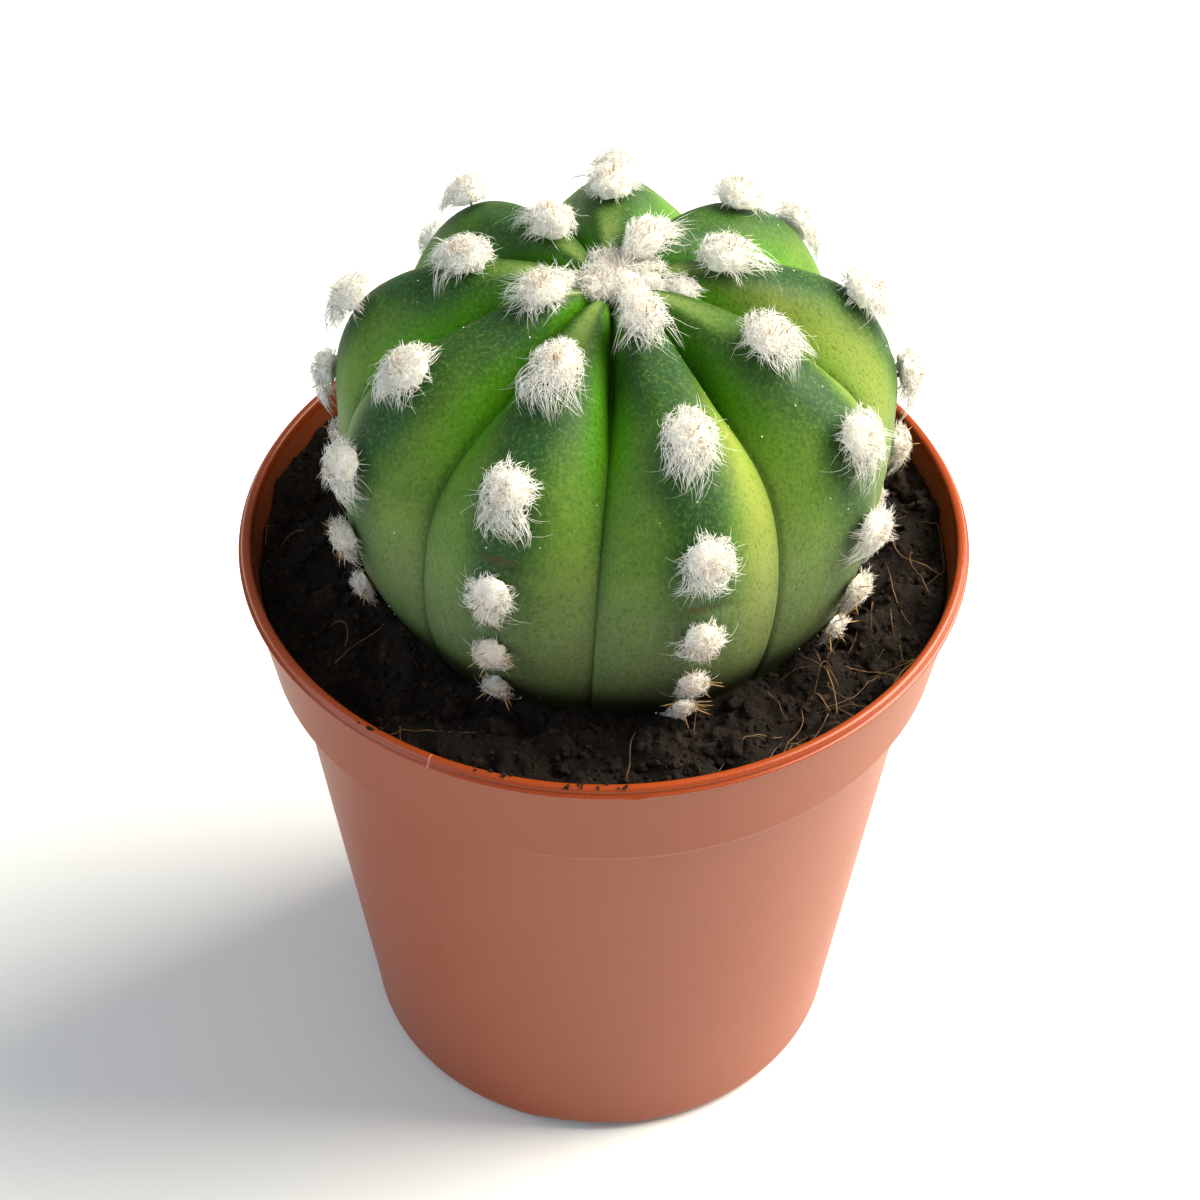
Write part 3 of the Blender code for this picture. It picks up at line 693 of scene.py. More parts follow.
class CACTUS_OT_make_peat(bpy.types.Operator):
    """Fill the pot with peat, lumpy and crumbly on top"""
    bl_idname = "cactus.make_peat"
    bl_label = "Peat"

    def execute(self, context):
        peat = turned_by_hand("peat", peat_profile(), PEAT_SEGMENTS)
        places = places_of(peat)
        top = np.abs(places[:, 2] - SOIL_LEVEL) < 0.01 * MM
        for index in np.flatnonzero(top):
            places[index, 2] = peat_height(places[index, 0], places[index, 1])
        widening = peat_wall_radius(places[top, 2]) / peat_wall_radius(SOIL_LEVEL)
        places[top, :2] *= widening[:, None]
        move_to(peat, places)
        mark(peat, "tone", np.zeros(len(places)))
        bpy.ops.object.shade_smooth()
        settle(peat, peat_finish("peat", context.scene.cactus_peat), "peat", "soil")
        return {"FINISHED"}


def clod_shapes(rng, subdivisions, count):
    """Places and triangles of a few ragged clods of about radius 1."""
    shapes = []
    for _ in range(count):
        deselect_all()
        bpy.ops.mesh.primitive_ico_sphere_add(subdivisions=subdivisions, radius=1.0)
        clod = bpy.context.active_object
        places = places_of(clod)
        shift = Vector(rng.uniform(0, NOISE_FIELD, 3))
        for index, place in enumerate(places):
            swell = CLOD_RADIUS + CLOD_LUMP_HEIGHT * noise.noise(Vector(place) * CLOD_LUMP_SCALE + shift)
            crumble = noise.turbulence(Vector(place) * CLOD_CRUMBLE_SCALE + shift, 3, True)
            places[index] = place * (swell + CLOD_CRUMBLE_HEIGHT * crumble)
        faces = np.array([list(face.vertices) for face in clod.data.polygons])
        shapes.append((places * rng.uniform(*CLOD_STRETCH, 3), faces))
        bpy.data.objects.remove(clod, do_unlink=True)
    return shapes


def scattered(name, rng, shapes, centres, sizes, smooth=True):
    """One piece of many randomly turned copies of a few shapes, and the copy that each vertex is in."""
    count = len(centres)
    rotations = np.array([Quaternion(four).normalized().to_matrix() for four in rng.normal(size=(count, 4))])
    kinds = rng.integers(0, len(shapes), count)
    places, faces, owners = [], [], []
    first = 0
    for kind, (shape, corners) in enumerate(shapes):
        chosen = np.flatnonzero(kinds == kind)
        turned = np.einsum("nij,vj->nvi", rotations[chosen], shape) * sizes[chosen, None, None]
        places.append((turned + centres[chosen, None, :]).reshape(-1, 3))
        offsets = first + len(shape) * np.arange(len(chosen))
        faces.append((corners[None] + offsets[:, None, None]).reshape(-1, corners.shape[1]))
        owners.append(np.repeat(chosen, len(shape)))
        first += len(shape) * len(chosen)
    piece = mesh_piece(name, np.concatenate(places), np.concatenate(faces), smooth=smooth)
    return piece, np.concatenate(owners)


def on_peat(rng, sizes):
    """Random places on the peat between the plant and the wall, for clods of these sizes."""
    centres = np.empty((len(sizes), 3))
    for index, size in enumerate(sizes):
        radius = math.sqrt(rng.uniform(LOOSE_INNER_RADIUS**2, (LOOSE_OUTER_RADIUS - size) ** 2))
        angle = rng.uniform(0, math.tau)
        x, y = radius * math.cos(angle), radius * math.sin(angle)
        centres[index] = (x, y, peat_height(x, y))
    return centres


class CACTUS_OT_make_clods(bpy.types.Operator):
    """Scatter clods, crumbs and grit over the peat"""
    bl_idname = "cactus.make_clods"
    bl_label = "Clods, crumbs and grit"

    def execute(self, context):
        settings = context.scene.cactus_peat
        rng = np.random.default_rng(SEED)
        finish = peat_finish("peat_crumb", settings)
        for name, amount, low, high, rarity, subdivisions, brownness in LOOSE_PEAT:
            count = getattr(settings, amount)
            sizes = low + (high - low) * rng.random(count) ** rarity
            centres = on_peat(rng, sizes)
            shapes = clod_shapes(rng, subdivisions, CLOD_KINDS)
            piece, owners = scattered(name, rng, shapes, centres, sizes, smooth=subdivisions > 1)
            mark(piece, "tone", np.clip(rng.normal(brownness, 0.3, count), 0, 1)[owners])
            settle(piece, finish, "peat")
        return {"FINISHED"}


class CACTUS_OT_make_rim_crumbs(bpy.types.Operator):
    """Leave a few crumbs of peat on the lip"""
    bl_idname = "cactus.make_rim_crumbs"
    bl_label = "Crumbs on the lip"

    def execute(self, context):
        rng = np.random.default_rng(SEED + 4)
        centres = []
        for angle in RIM_CRUMBS:
            for _ in range(int(rng.integers(2, 6))):
                turn = math.radians(angle + rng.normal(0, 1.1))
                radius = RIM_RADIUS - LIP_GROOVE_DEPTH - rng.uniform(*RIM_CRUMB_INSETS)
                centres.append((radius * math.sin(turn), -radius * math.cos(turn), POT_HEIGHT + LIP_STEP))
        sizes = rng.uniform(*RIM_CRUMB_SIZES, len(centres))
        piece, owners = scattered("rim_crumbs", rng, clod_shapes(rng, 2, 5), np.array(centres), sizes)
        mark(piece, "tone", rng.uniform(0, 0.8, len(centres))[owners])
        settle(piece, peat_finish("rim_crumb", context.scene.cactus_peat), "peat")
        return {"FINISHED"}


def tubes(paths, radii, sides):
    """Places and faces of tapered tubes that end in points; paths is (tubes, points, 3)."""
    count, points, _ = paths.shape
    along = np.gradient(paths, axis=1)
    along /= np.linalg.norm(along, axis=2, keepdims=True) + 1e-12
    guide = np.where(np.abs(along[:, :1, 2:3]) > 0.9, (1.0, 0.0, 0.0), (0.0, 0.0, 1.0))
    first = np.cross(along, guide)
    first /= np.linalg.norm(first, axis=2, keepdims=True) + 1e-12
    second = np.cross(along, first)
    angles = np.arange(sides) * math.tau / sides
    ring = first[:, :-1, None] * np.cos(angles)[:, None] + second[:, :-1, None] * np.sin(angles)[:, None]
    rings = paths[:, :-1, None] + ring * radii[:, :-1, None, None]
    places = np.concatenate([rings.reshape(count, -1, 3), paths[:, -1:]], axis=1)
    size = places.shape[1]
    side = np.arange(sides)
    after = (side + 1) % sides
    row = (np.arange(points - 2) * sides)[:, None]
    quads = np.stack([row + side, row + after, row + sides + after, row + sides + side], axis=2)
    last = (points - 2) * sides
    tips = np.stack([last + side, last + after, np.full(sides, size - 1)], axis=1)
    shift = (np.arange(count) * size)[:, None, None]
    return (places.reshape(-1, 3), (quads.reshape(-1, 4) + shift).reshape(-1, 4),
            (tips + shift).reshape(-1, 3), (side[::-1] + shift).reshape(-1, sides))


def fibre_path(rng, start, heading, length, bend, lift, points=14):
    """A coir fibre that lies on the peat and lifts off it a little in the middle."""
    steps = np.linspace(0, 1, points)
    angles = heading + bend * (steps - 0.5) + 0.25 * np.sin(steps * rng.uniform(3, 7) + rng.uniform(0, 6))
    stride = length / (points - 1)
    x = start[0] + np.cumsum(np.cos(angles)) * stride
    y = start[1] + np.cumsum(np.sin(angles)) * stride
    inwards = np.minimum(1, FIBRE_REACH / np.hypot(x, y))
    x, y = x * inwards, y * inwards
    ground = np.array([peat_height(*place) for place in zip(x, y)])
    smooth = np.convolve(np.pad(ground, 2, mode="edge"), np.ones(5) / 5, mode="valid")
    z = np.maximum(smooth, ground) + FIBRE_REST + lift * np.sin(math.pi * steps)
    return np.stack([x, y, z], axis=1)


def coir_finish(settings):
    finish = Finish("coir_fibre", roughness=0.7)
    streak = finish.noise(1.2 * MM, detail=4)
    dark = tuple(0.35 * part for part in settings.coir)
    finish.paint(finish.mix(dark, settings.coir, streak.step(0.35, 0.65)))
    finish.emboss(finish.noise(0.15 * MM), 0.05 * MM)
    return finish


class CACTUS_OT_make_fibres(bpy.types.Operator):
    """Lay loose coir fibres on the peat, most of them in two tangles on the right"""
    bl_idname = "cactus.make_fibres"
    bl_label = "Coir fibres"

    def execute(self, context):
        settings = context.scene.cactus_peat
        rng = np.random.default_rng(SEED + 1)
        paths, radii = [], []
        for number in range(settings.fibres):
            centre, spread = FIBRE_TANGLES[number % len(FIBRE_TANGLES)]
            angle = math.radians(rng.normal(centre, spread))
            radius = rng.uniform(*FIBRE_STARTS)
            start = (radius * math.cos(angle), radius * math.sin(angle))
            length = rng.uniform(*FIBRE_LENGTHS)
            path = fibre_path(rng, start, rng.uniform(0, math.tau), length, rng.normal(0, 0.9),
                              rng.uniform(0, 1.0) ** 2 * FIBRE_LIFT)
            paths.append(path)
            radii.append(np.full(len(path), rng.uniform(*FIBRE_RADII)))
        piece = mesh_piece("coir_fibres", *tubes(np.array(paths), np.array(radii), 5))
        settle(piece, coir_finish(settings), "peat")
        return {"FINISHED"}


def crest_curve(samples=600):
    """Distance, radius and height down one rib's crest, from the crown to the middle of the underside."""
    turn = np.linspace(0.0, np.pi, samples + 1)
    upper = turn <= np.pi / 2
    squareness = np.where(upper, CROWN_SQUARENESS, UNDERSIDE_SQUARENESS)
    reach = np.where(upper, CROWN_RISE, -UNDERSIDE_DROP)
    radius = BODY_RADIUS * np.abs(np.sin(turn)) ** (2 / squareness)
    height = EQUATOR_HEIGHT + reach * np.abs(np.cos(turn)) ** (2 / squareness)
    height -= np.where(upper, DIMPLE_DEPTH * bell(radius, DIMPLE_RADIUS), 0.0)
    steps = np.hypot(np.diff(radius), np.diff(height))
    return np.concatenate([[0.0], np.cumsum(steps)]), radius, height


CREST_ARC, CREST_RADIUS, CREST_HEIGHT = crest_curve()


def crest_radius(arc):
    return np.interp(arc, CREST_ARC, CREST_RADIUS)


def crest_height(arc):
    return np.interp(arc, CREST_ARC, CREST_HEIGHT)


def crest_at(arc):
    """Radius and height of the crest, and the radial and upward parts of the direction out of it."""
    before = np.maximum(arc - CREST_STEP, 0.0)
    after = np.minimum(arc + CREST_STEP, CREST_ARC[-1])
    run = crest_radius(after) - crest_radius(before)
    drop = crest_height(after) - crest_height(before)
    length = np.hypot(run, drop)
    return crest_radius(arc), crest_height(arc), -drop / length, run / length


def rib_place(azimuth):
    """0 on a rib's crest to 1 in the groove; azimuth 0 is the middle of the front groove."""
    return np.abs((azimuth / RIB_ANGLE) % 1.0 - 0.5) * 2


def groove_share(across, arc):
    """How deep the skin lies between crest (0) and groove (1)."""
    even = np.hypot(across, CREST_ROUNDING) - CREST_ROUNDING
    even = even / (math.hypot(1.0, CREST_ROUNDING) - CREST_ROUNDING)
    return even ** np.interp(arc, ROUNDNESS_STATIONS, RIB_ROUNDNESS)


def on_skin(azimuth, arc, lift=0.0, drape=1.0):
    """World places this far above the skin; with less drape they bridge the grooves."""
    azimuth, arc, lift = np.broadcast_arrays(azimuth, np.clip(arc, 0.0, CREST_ARC[-1]), lift)
    radius, height, outward, upward = crest_at(arc)
    depth = drape * np.interp(arc, GROOVE_STATIONS, GROOVE_DEPTHS) * groove_share(rib_place(azimuth), arc)
    angle = azimuth + PLANT_TURN + RIB_TWIST * (arc - TWIST_MIDDLE)
    radius = np.maximum(radius + (lift - depth) * outward, 0.0)
    radius = radius * (1 + BULGE * (1 + np.cos(angle - BULGE_TOWARDS)) / 2)
    height = POT_HEIGHT + height + (lift - depth) * upward
    places = np.stack([radius * np.sin(angle), -radius * np.cos(angle), height], axis=-1)
    return places + np.array(PLANT_CENTRE)


def areoles():
    """Distance from the crown, azimuth and tuft size of each areole, from the youngest down to the soil."""
    found = []
    for number in range(AREOLE_MOST):
        turn = number / RIB_COUNT
        arc = FIRST_AREOLE + turn * (AREOLE_STEP - AREOLE_SHRINK * turn) + RIB_LAG[number % RIB_COUNT]
        arc += YOUNG_SHIFTS.get(number, 0.0)
        azimuth = SPIRAL_START + number * RIBS_PER_STEP * RIB_ANGLE
        middle = on_skin(azimuth, arc, drape=0.0)
        if middle[2] > soil_level(middle[1]) + AREOLE_CLEARANCE:
            found.append((arc, azimuth, float(np.interp(arc, TUFT_STATIONS, TUFT_RADII))))
    return found


AREOLES = areoles()


def from_areole(azimuth, arc, areole):
    """Distances across and down the rib from an areole, in tuft sizes."""
    turn = (azimuth - areole[1] + math.pi) % math.tau - math.pi
    return turn * crest_radius(areole[0]) / areole[2], (arc - areole[0]) / areole[2]


def fold_line(across, down, size):
    """A curved line just above an areole."""
    return bell((down + 1.3) * size - FOLD_CURVE * (across * size) ** 2, FOLD_WIDTH)


def skin_lift(azimuth, arc):
    """Fine form of the skin: a sharp crease in each groove, swollen areoles and folds above some of them."""
    from_groove = (1 - rib_place(azimuth)) * np.maximum(crest_radius(arc), 1 * MM) * RIB_ANGLE / 2
    crease = np.clip((arc - CREASE_START_ARC) / (CREASE_FULL_ARC - CREASE_START_ARC), 0, 1)
    lift = -CREASE_DEPTH * crease * bell(from_groove, CREASE_WIDTH)
    for number, areole in enumerate(AREOLES):
        across, down = from_areole(azimuth, arc, areole)
        near = bell(across, 1.2)
        lift = lift + AREOLE_SWELL * near * bell(down + 0.3, 1.6)
        lift = lift - FOLD_DEPTH * FOLDS.get(number, 0.0) * near * fold_line(across, down, areole[2])
    return lift


def skin_marks(azimuth, arc):
    """Shares of a vertex's painted tuft shade, of its yellow band with painted light, and of its cork."""
    shade = np.zeros(len(arc))
    cork = np.zeros(len(arc))
    for number, areole in enumerate(AREOLES):
        across, down = from_areole(azimuth, arc, areole)
        # Painted shade under each tuft: strongest a little below the areole, where the wool hangs
        shade = np.maximum(shade, bell(across, 1.5) * bell(down - 0.9, 2.1))
        scar = FOLDS.get(number, 0.0) * bell(across, 0.8) * fold_line(across, down, areole[2])
        cork = np.maximum(cork, scar)
    side = (azimuth / RIB_ANGLE) % RIB_COUNT
    # The yellow bands are partly the skin's own tint, partly painted light on flanks that face the key light
    stripe = np.zeros(len(arc))
    for place, strength, first, last in YELLOW_LIT_STRIPES:
        run = np.clip((arc - first) / STRIPE_FADE, 0, 1) * np.clip((last - arc) / STRIPE_FADE, 0, 1)
        stripe += strength * run * bell(side - place, STRIPE_WIDTH)
    sideways = np.clip(2.5 * np.abs(np.sin(azimuth)) - 1.4, 0, 1)
    cork = np.maximum(cork, 0.8 * sideways * bell(arc - CORK_ARC, CORK_WIDTH))
    return {"shade": shade, "stripe": stripe, "cork": cork}


def skin_finish(settings):
    finish = Finish("cactus_skin", Specular_IOR_Level=0.13)
    rib, down, shade, stripe, cork = (
        finish.attribute(name) for name in ("rib", "down", "shade", "stripe", "cork"))
    blotch = finish.noise(6 * MM, detail=4)
    cloud = finish.noise(1.6 * MM, detail=5, roughness=0.6)
    grain = finish.noise(0.22 * MM, detail=3, roughness=0.7, scale=(1, 1, 0.8))
    rain = finish.noise(0.3 * MM, detail=2, scale=(1, 1, 0.12))
    dots = finish.cells(0.5 * MM, scale=(1, 1, 0.75)).step(0.32, 0.06)
    flank = rib.step(0.2, 0.6) * rib.step(1.05, 0.8)
    # band gives the crests of the upper ribs the colour of the painted tuft shade, between the tufts
    band = rib.step(0.34, 0.05) * down.step(0.2, 0.36) * 0.6
    colour = settings.green
    for tone, share in (
            (settings.deep, blotch.step(0.35, 0.7) * 0.8),
            (settings.flank, flank * down.step(0.22, 0.5) * (cloud * 0.8 + 0.2)),
            (settings.deep, rib.step(0.1, 0.4) * down.step(0.36, 0.2) * 0.75),
            # The crown's grooves: their own saturated green, brightened as painted light
            (settings.valley_green_and_light, rib.step(0.45, 0.9) * down.step(0.55, 0.25) * 0.9),
            (settings.crest, rib.step(0.5, 0.1) * down.step(0.26, 0.1) * 0.5),
            # Painted shade round and below the tufts; the crest band shares its colour
            (settings.shade, (shade * 0.9 + band).step(0.1, 1.0) * (cloud * 0.5 + 0.6)),
            # Yellow bands: the skin's own tint with painted light on the lit flanks
            (settings.stripe, stripe * (cloud * 0.6 + 0.5)),
            (settings.foot, down.step(0.5, 0.78) * (blotch * 0.5 + 0.45)),
            (CHALK, rain.step(0.5, 0.7) * down.step(0.55, 0.75) * 0.5),
            (PALE_GRAIN, grain.step(0.5, 0.66) * 0.22 + dots * 0.12),
            (DARK_GRAIN, grain.step(0.48, 0.34) * 0.36),
            # Painted shade in the creases at the groove bottoms, below the crown
            (CREASE_SHADE, rib.step(0.97, 1.0) * down.step(0.2, 0.45) * 0.6),
            # Soil stain with painted shade: the lowest band, just above the peat, is made nearly black
            (UNDERSIDE_STAIN_AND_SHADE, down.step(0.82, 0.91) * 0.93),
            (settings.cork, cork.step(0.1, 0.9) * (cloud * 1.4 - 0.1))):
        colour = finish.mix(colour, tone, share)
    finish.paint(colour)
    finish.roughen(blotch * 0.12 + grain * 0.15 + 0.42)
    finish.emboss(grain * 0.7 + dots * 0.2 + cloud * 0.4, 0.09 * MM)
    return finish


class CACTUS_OT_make_skin(bpy.types.Operator):
    """Shape the ribbed skin from a sphere whose rings are moved onto the ribs"""
    bl_idname = "cactus.make_skin"
    bl_label = "Cactus skin"

    def execute(self, context):
        deselect_all()
        bpy.ops.mesh.primitive_uv_sphere_add(segments=RIB_COUNT * RIB_DIVISIONS, ring_count=SKIN_RINGS,
                                             radius=1.0)
        skin = bpy.context.active_object
        skin.name = "cactus_skin"
        places = places_of(skin)
        turn = np.arctan2(places[:, 0], -places[:, 1]) / RIB_ANGLE
        azimuth = (turn - GROOVE_CROWDING * np.sin(math.tau * turn) / math.tau) * RIB_ANGLE
        share = np.arccos(np.clip(places[:, 2], -1, 1)) / math.pi
        arc = np.interp(share, (0.0, SHOWN_SHARE, 1.0), (0.0, SHOWN_ARC, CREST_ARC[-1]))
        places = on_skin(azimuth, arc, skin_lift(azimuth, arc))
        for index, place in enumerate(places):
            swell = noise.noise(Vector(place) / SKIN_WAVE) * SKIN_WAVE_HEIGHT
            places[index] += swell * np.array((place[0], place[1], 0.0)) / BODY_RADIUS
        move_to(skin, places)
        marks = {"rib": rib_place(azimuth), "down": arc / SHOWN_ARC, **skin_marks(azimuth, arc)}
        for name, values in marks.items():
            mark(skin, name, values)
        bpy.ops.object.shade_smooth()
        settle(skin, skin_finish(context.scene.cactus_skin), "cactus_skin", "cactus")
        return {"FINISHED"}


class Patch:
    """Local places round an areole: across and down the rib and up from the skin, in metres."""

    def __init__(self, arc, azimuth, size):
        self.arc, self.azimuth, self.size = arc, azimuth, size
        self.radius = max(float(crest_radius(arc)), PATCH_RADIUS_LEAST)
        self.drape = min(1.0, (arc / DRAPED_ARC) ** 1.5)
        self.pull = size * float(np.interp(arc, PULLED_ARCS, (0.22, 0.0)))

    def world(self, local):
        return on_skin(self.azimuth + local[..., 0] / self.radius, self.arc + local[..., 1] - self.pull,
                       local[..., 2], self.drape)


class CrownPatch:
    """Local places on one mound of the crown's wool: sideways, away from the crown's middle, and up."""

    def __init__(self, across, back, size):
        self.size = size
        length = math.hypot(across, back)
        height = POT_HEIGHT + CROWN_WOOL_TOP - 1.1 * size - CROWN_MOUND_SINK * length
        self.base = np.array(PLANT_CENTRE) + (across, back, height)
        self.away = np.array((across, back, 0.0)) / max(length, 1 * MM)
        self.side = np.array((-self.away[1], self.away[0], 0.0))

    def world(self, local):
        flat = local[..., 0:1] * self.side + local[..., 1:2] * self.away
        return self.base + flat + local[..., 2:3] * (0.0, 0.0, 1.0)


def direction(rise, turn):
    """Directions out of a mound, from their height and their turn round it."""
    flat = np.sqrt(1 - rise**2)
    return np.stack(np.broadcast_arrays(flat * np.cos(turn), flat * np.sin(turn), rise), axis=-1)


def mound_point(out, size, swell=1.0):
    """Places on the mound under the hairs, from directions out of its middle."""
    return out * np.asarray(swell)[..., None] * np.array(MOUND_RADII) * size + np.array(MOUND_MIDDLE) * size


def middle_share(out):
    """1 in the middle of the mound's top to 0 on its sides."""
    return bell(np.hypot(out[:, 0], out[:, 1]), MIDDLE_WIDTH) * (out[:, 2] > 0)


def wool_core(rng, patch):
    """The lumpy mound: places on the patch, faces, and each place's tint."""
    lean = np.linspace(0, MOUND_LEAN, MOUND_RINGS + 1)[1:, None]
    out = direction(np.cos(lean), np.linspace(0, math.tau, MOUND_SIDES, endpoint=False))
    out = np.concatenate([[[0.0, 0.0, 1.0]], out.reshape(-1, 3), [[0.0, 0.0, -0.6]]])
    shift = Vector(rng.uniform(0, NOISE_FIELD, 3))
    lumps = np.array([noise.noise(Vector(place) * 2.0 + shift) for place in out])
    lumps += 0.5 * np.array([noise.noise(Vector(place) * 5.0 - shift) for place in out])
    local = mound_point(out, patch.size, CORE_SWELL + CORE_LUMPS * lumps)
    side = np.arange(MOUND_SIDES)
    after = (side + 1) % MOUND_SIDES
    row = (np.arange(MOUND_RINGS - 1) * MOUND_SIDES + 1)[:, None]
    below = row + MOUND_SIDES
    quads = np.stack([row + side, below + side, below + after, row + after], axis=2).reshape(-1, 4)
    top = np.stack([np.zeros(MOUND_SIDES, int), 1 + side, 1 + after], axis=1)
    last = 1 + (MOUND_RINGS - 1) * MOUND_SIDES
    bottom = np.stack([np.full(MOUND_SIDES, len(local) - 1), last + after, last + side], axis=1)
    return patch.world(local), [quads, np.concatenate([top, bottom])], 0.08 + 0.6 * middle_share(out)


def outwards(rng, count, lowest):
    """Random directions out of the mound."""
    rise = rng.uniform(lowest, 1.0, count)
    return direction(rise, rng.uniform(0, math.tau, count))


def centre_tint(rng, out, steps):
    """Tan in the middle of the tuft, and a little in single hairs."""
    middle = 1.1 * middle_share(out) * rng.random(len(out))
    return middle[:, None] * (1 - 0.5 * steps) + 0.2 * rng.random((len(out), 1)) ** 2


def gathered(rng, paths, clumps, steps):
    """Pull the hairs' ends towards those of a few of them."""
    leaders = rng.choice(len(paths), clumps, replace=False)
    gaps = np.linalg.norm(paths[:, None, 1] - paths[None, leaders, 1], axis=2)
    nearest = leaders[np.argmin(gaps, axis=1)]
    pull = (rng.uniform(0.3, 0.8, len(paths))[:, None] * steps**1.5)[..., None]
    return paths + (paths[nearest] - paths) * pull


def fuzz(rng, size, count, reach, points=4):
    """Short hairs that stand out of the mound in small tufts of their own: local paths and tints."""
    steps = np.linspace(0, 1, points)
    out = outwards(rng, count, -0.25)
    root = mound_point(out, size, np.full(count, FUZZ_ROOT))
    below = np.clip(out[:, 1:2], 0, 1)
    flow = out + rng.normal(0, 0.6, (count, 3)) + DOWNHILL * rng.uniform(0.0, 0.7, (count, 1)) * below
    flow /= np.linalg.norm(flow, axis=1, keepdims=True)
    length = size * rng.uniform(*reach, count) * (1 + 0.9 * below[:, 0] * rng.random(count))
    paths = root[:, None] + flow[:, None] * (length[:, None] * steps)[..., None]
    bend = rng.normal(0, 0.3, (count, 3)) + (0.05 + 0.4 * below) * DOWNHILL
    paths += bend[:, None] * (length[:, None] * steps**2)[..., None]
    paths = gathered(rng, paths, max(12, count // 8), steps)
    return paths, centre_tint(rng, out, steps)


def matted(rng, size, count, travel, points=4):
    """Hairs that lie over the mound and come off it at their ends: local paths and tints."""
    steps = np.linspace(0, 1, points)
    out = outwards(rng, count, 0.25)
    flow = rng.normal(0, 0.8, (count, 3)) + 0.5 * DOWNHILL
    flow -= out * np.sum(flow * out, axis=1, keepdims=True)
    flow /= np.linalg.norm(flow, axis=1, keepdims=True)
    sweep = (rng.uniform(*travel, count)[:, None] * steps)[..., None]
    heading = out[:, None] * np.cos(sweep) + flow[:, None] * np.sin(sweep)
    loose = rng.uniform(0.0, 0.3, count)
    paths = mound_point(heading, size, rng.uniform(0.76, 0.98, (count, 1)) + loose[:, None] * steps)
    return paths, centre_tint(rng, out, steps)


def hanging_locks(rng, size, locks, hairs, reach, points=5):
    """Pointed locks that hang down over the skin below the mound."""
    steps = np.linspace(0, 1, points)
    arch = np.sin(math.pi * steps)
    paths = []
    for _ in range(locks):
        swing = rng.normal(0, 0.5)
        length = size * rng.uniform(*reach)
        tip = np.array([math.sin(swing) * length, math.cos(swing) * length, rng.uniform(0.06, 0.3) * size])
        turn = math.pi / 2 - swing + rng.normal(0, 0.5, hairs)
        root = mound_point(direction(rng.uniform(-0.1, 0.7, hairs), turn), size)
        ends = tip + rng.normal(0, 0.06, (hairs, 3)) * size
        ends = (ends - root) * rng.uniform(0.5, 1.0, (hairs, 1))
        path = root[:, None] + ends[:, None] * steps[:, None]
        path[..., 2] += 0.16 * size * arch
        path[..., 0] += rng.normal(0, 0.14) * size * arch
        paths.append(path)
    return np.concatenate(paths)


def stray_hairs(rng, size, count, points=6):
    """Single thin hairs that leave the tuft on all sides, most of them downwards."""
    steps = np.linspace(0, 1, points)
    heading = rng.normal(math.pi / 2, 1.25, count)
    length = size * rng.uniform(0.5, 1.5, count) * (0.65 + 0.35 * np.sin(heading))
    root = mound_point(direction(rng.uniform(0.0, 0.8, count), heading), size)
    turn = heading[:, None] + rng.normal(0, 0.7, count)[:, None] * steps
    run = (length[:, None] * steps)[..., None]
    return root[:, None] + np.stack([np.cos(turn), np.sin(turn), -0.35 * steps + 0 * turn], axis=2) * run


class Wool:
    """Collects mounds and hairs, and makes them one piece."""

    def __init__(self, settings):
        self.settings = settings
        self.age = 0.0
        self.parts = []
        self.count = 0

    def add(self, places, groups, tint):
        self.parts.append((places, [group + self.count for group in groups], tint + self.age))
        self.count += len(places)

    def add_hairs(self, patch, paths, tint=None, thickness=1.0, clearance=HAIR_CLEARANCE):
        """Hairs along local paths, kept off the skin."""
        if tint is None:
            tint = np.zeros(paths.shape[:2])
        paths[..., 2] = np.maximum(paths[..., 2], clearance * patch.size)
        taper = 1 - 0.6 * np.linspace(0, 1, paths.shape[1])
        radii = np.broadcast_to(thickness * self.settings.thickness * taper, paths.shape[:2])
        places, *groups = tubes(patch.world(paths), radii, HAIR_SIDES)
        rings = np.repeat(tint[:, :-1], HAIR_SIDES, axis=1)
        self.add(places, groups, np.concatenate([rings, tint[:, -1:]], axis=1).ravel())

    def add_mound(self, rng, patch, standing, reach, lying, travel):
        """A mound, with hairs that stand on it and hairs that lie on it."""
        count = int(self.settings.hairs * bulk(patch.size))
        self.add(*wool_core(rng, patch))
        self.add_hairs(patch, *fuzz(rng, patch.size, int(standing * count), reach))
        self.add_hairs(patch, *matted(rng, patch.size, int(lying * count), travel))

    def piece(self, name):
        faces = {}
        for _, groups, _ in self.parts:
            for group in groups:
                faces.setdefault(group.shape[1], []).append(group)
        places = np.concatenate([part[0] for part in self.parts])
        made = mesh_piece(name, places, *[np.concatenate(group) for group in faces.values()])
        mark(made, "tint", np.concatenate([part[2] for part in self.parts]))
        return made


def wool_finish(settings):
    finish = Finish("areole_wool", roughness=0.95, Specular_IOR_Level=0.2, Sheen_Weight=0.3)
    tint = finish.attribute("tint")
    felt = finish.noise(0.3 * MM, detail=4, roughness=0.7)
    cloud = finish.noise(1.1 * MM, detail=3)
    warm = tuple(0.95 * white + 0.05 * tan for white, tan in zip(settings.white, settings.tan))
    colour = finish.mix(settings.white, warm, cloud.step(0.4, 0.75) * 0.8)
    finish.paint(finish.mix(colour, settings.tan, tint * (0.1 + felt)))
    finish.emboss(felt, 0.3 * MM)
    return finish


def bulk(size):
    """Share of the largest tuft's hairs that a tuft of this size has."""
    return (size / TUFT_RADII[0]) ** 1.2


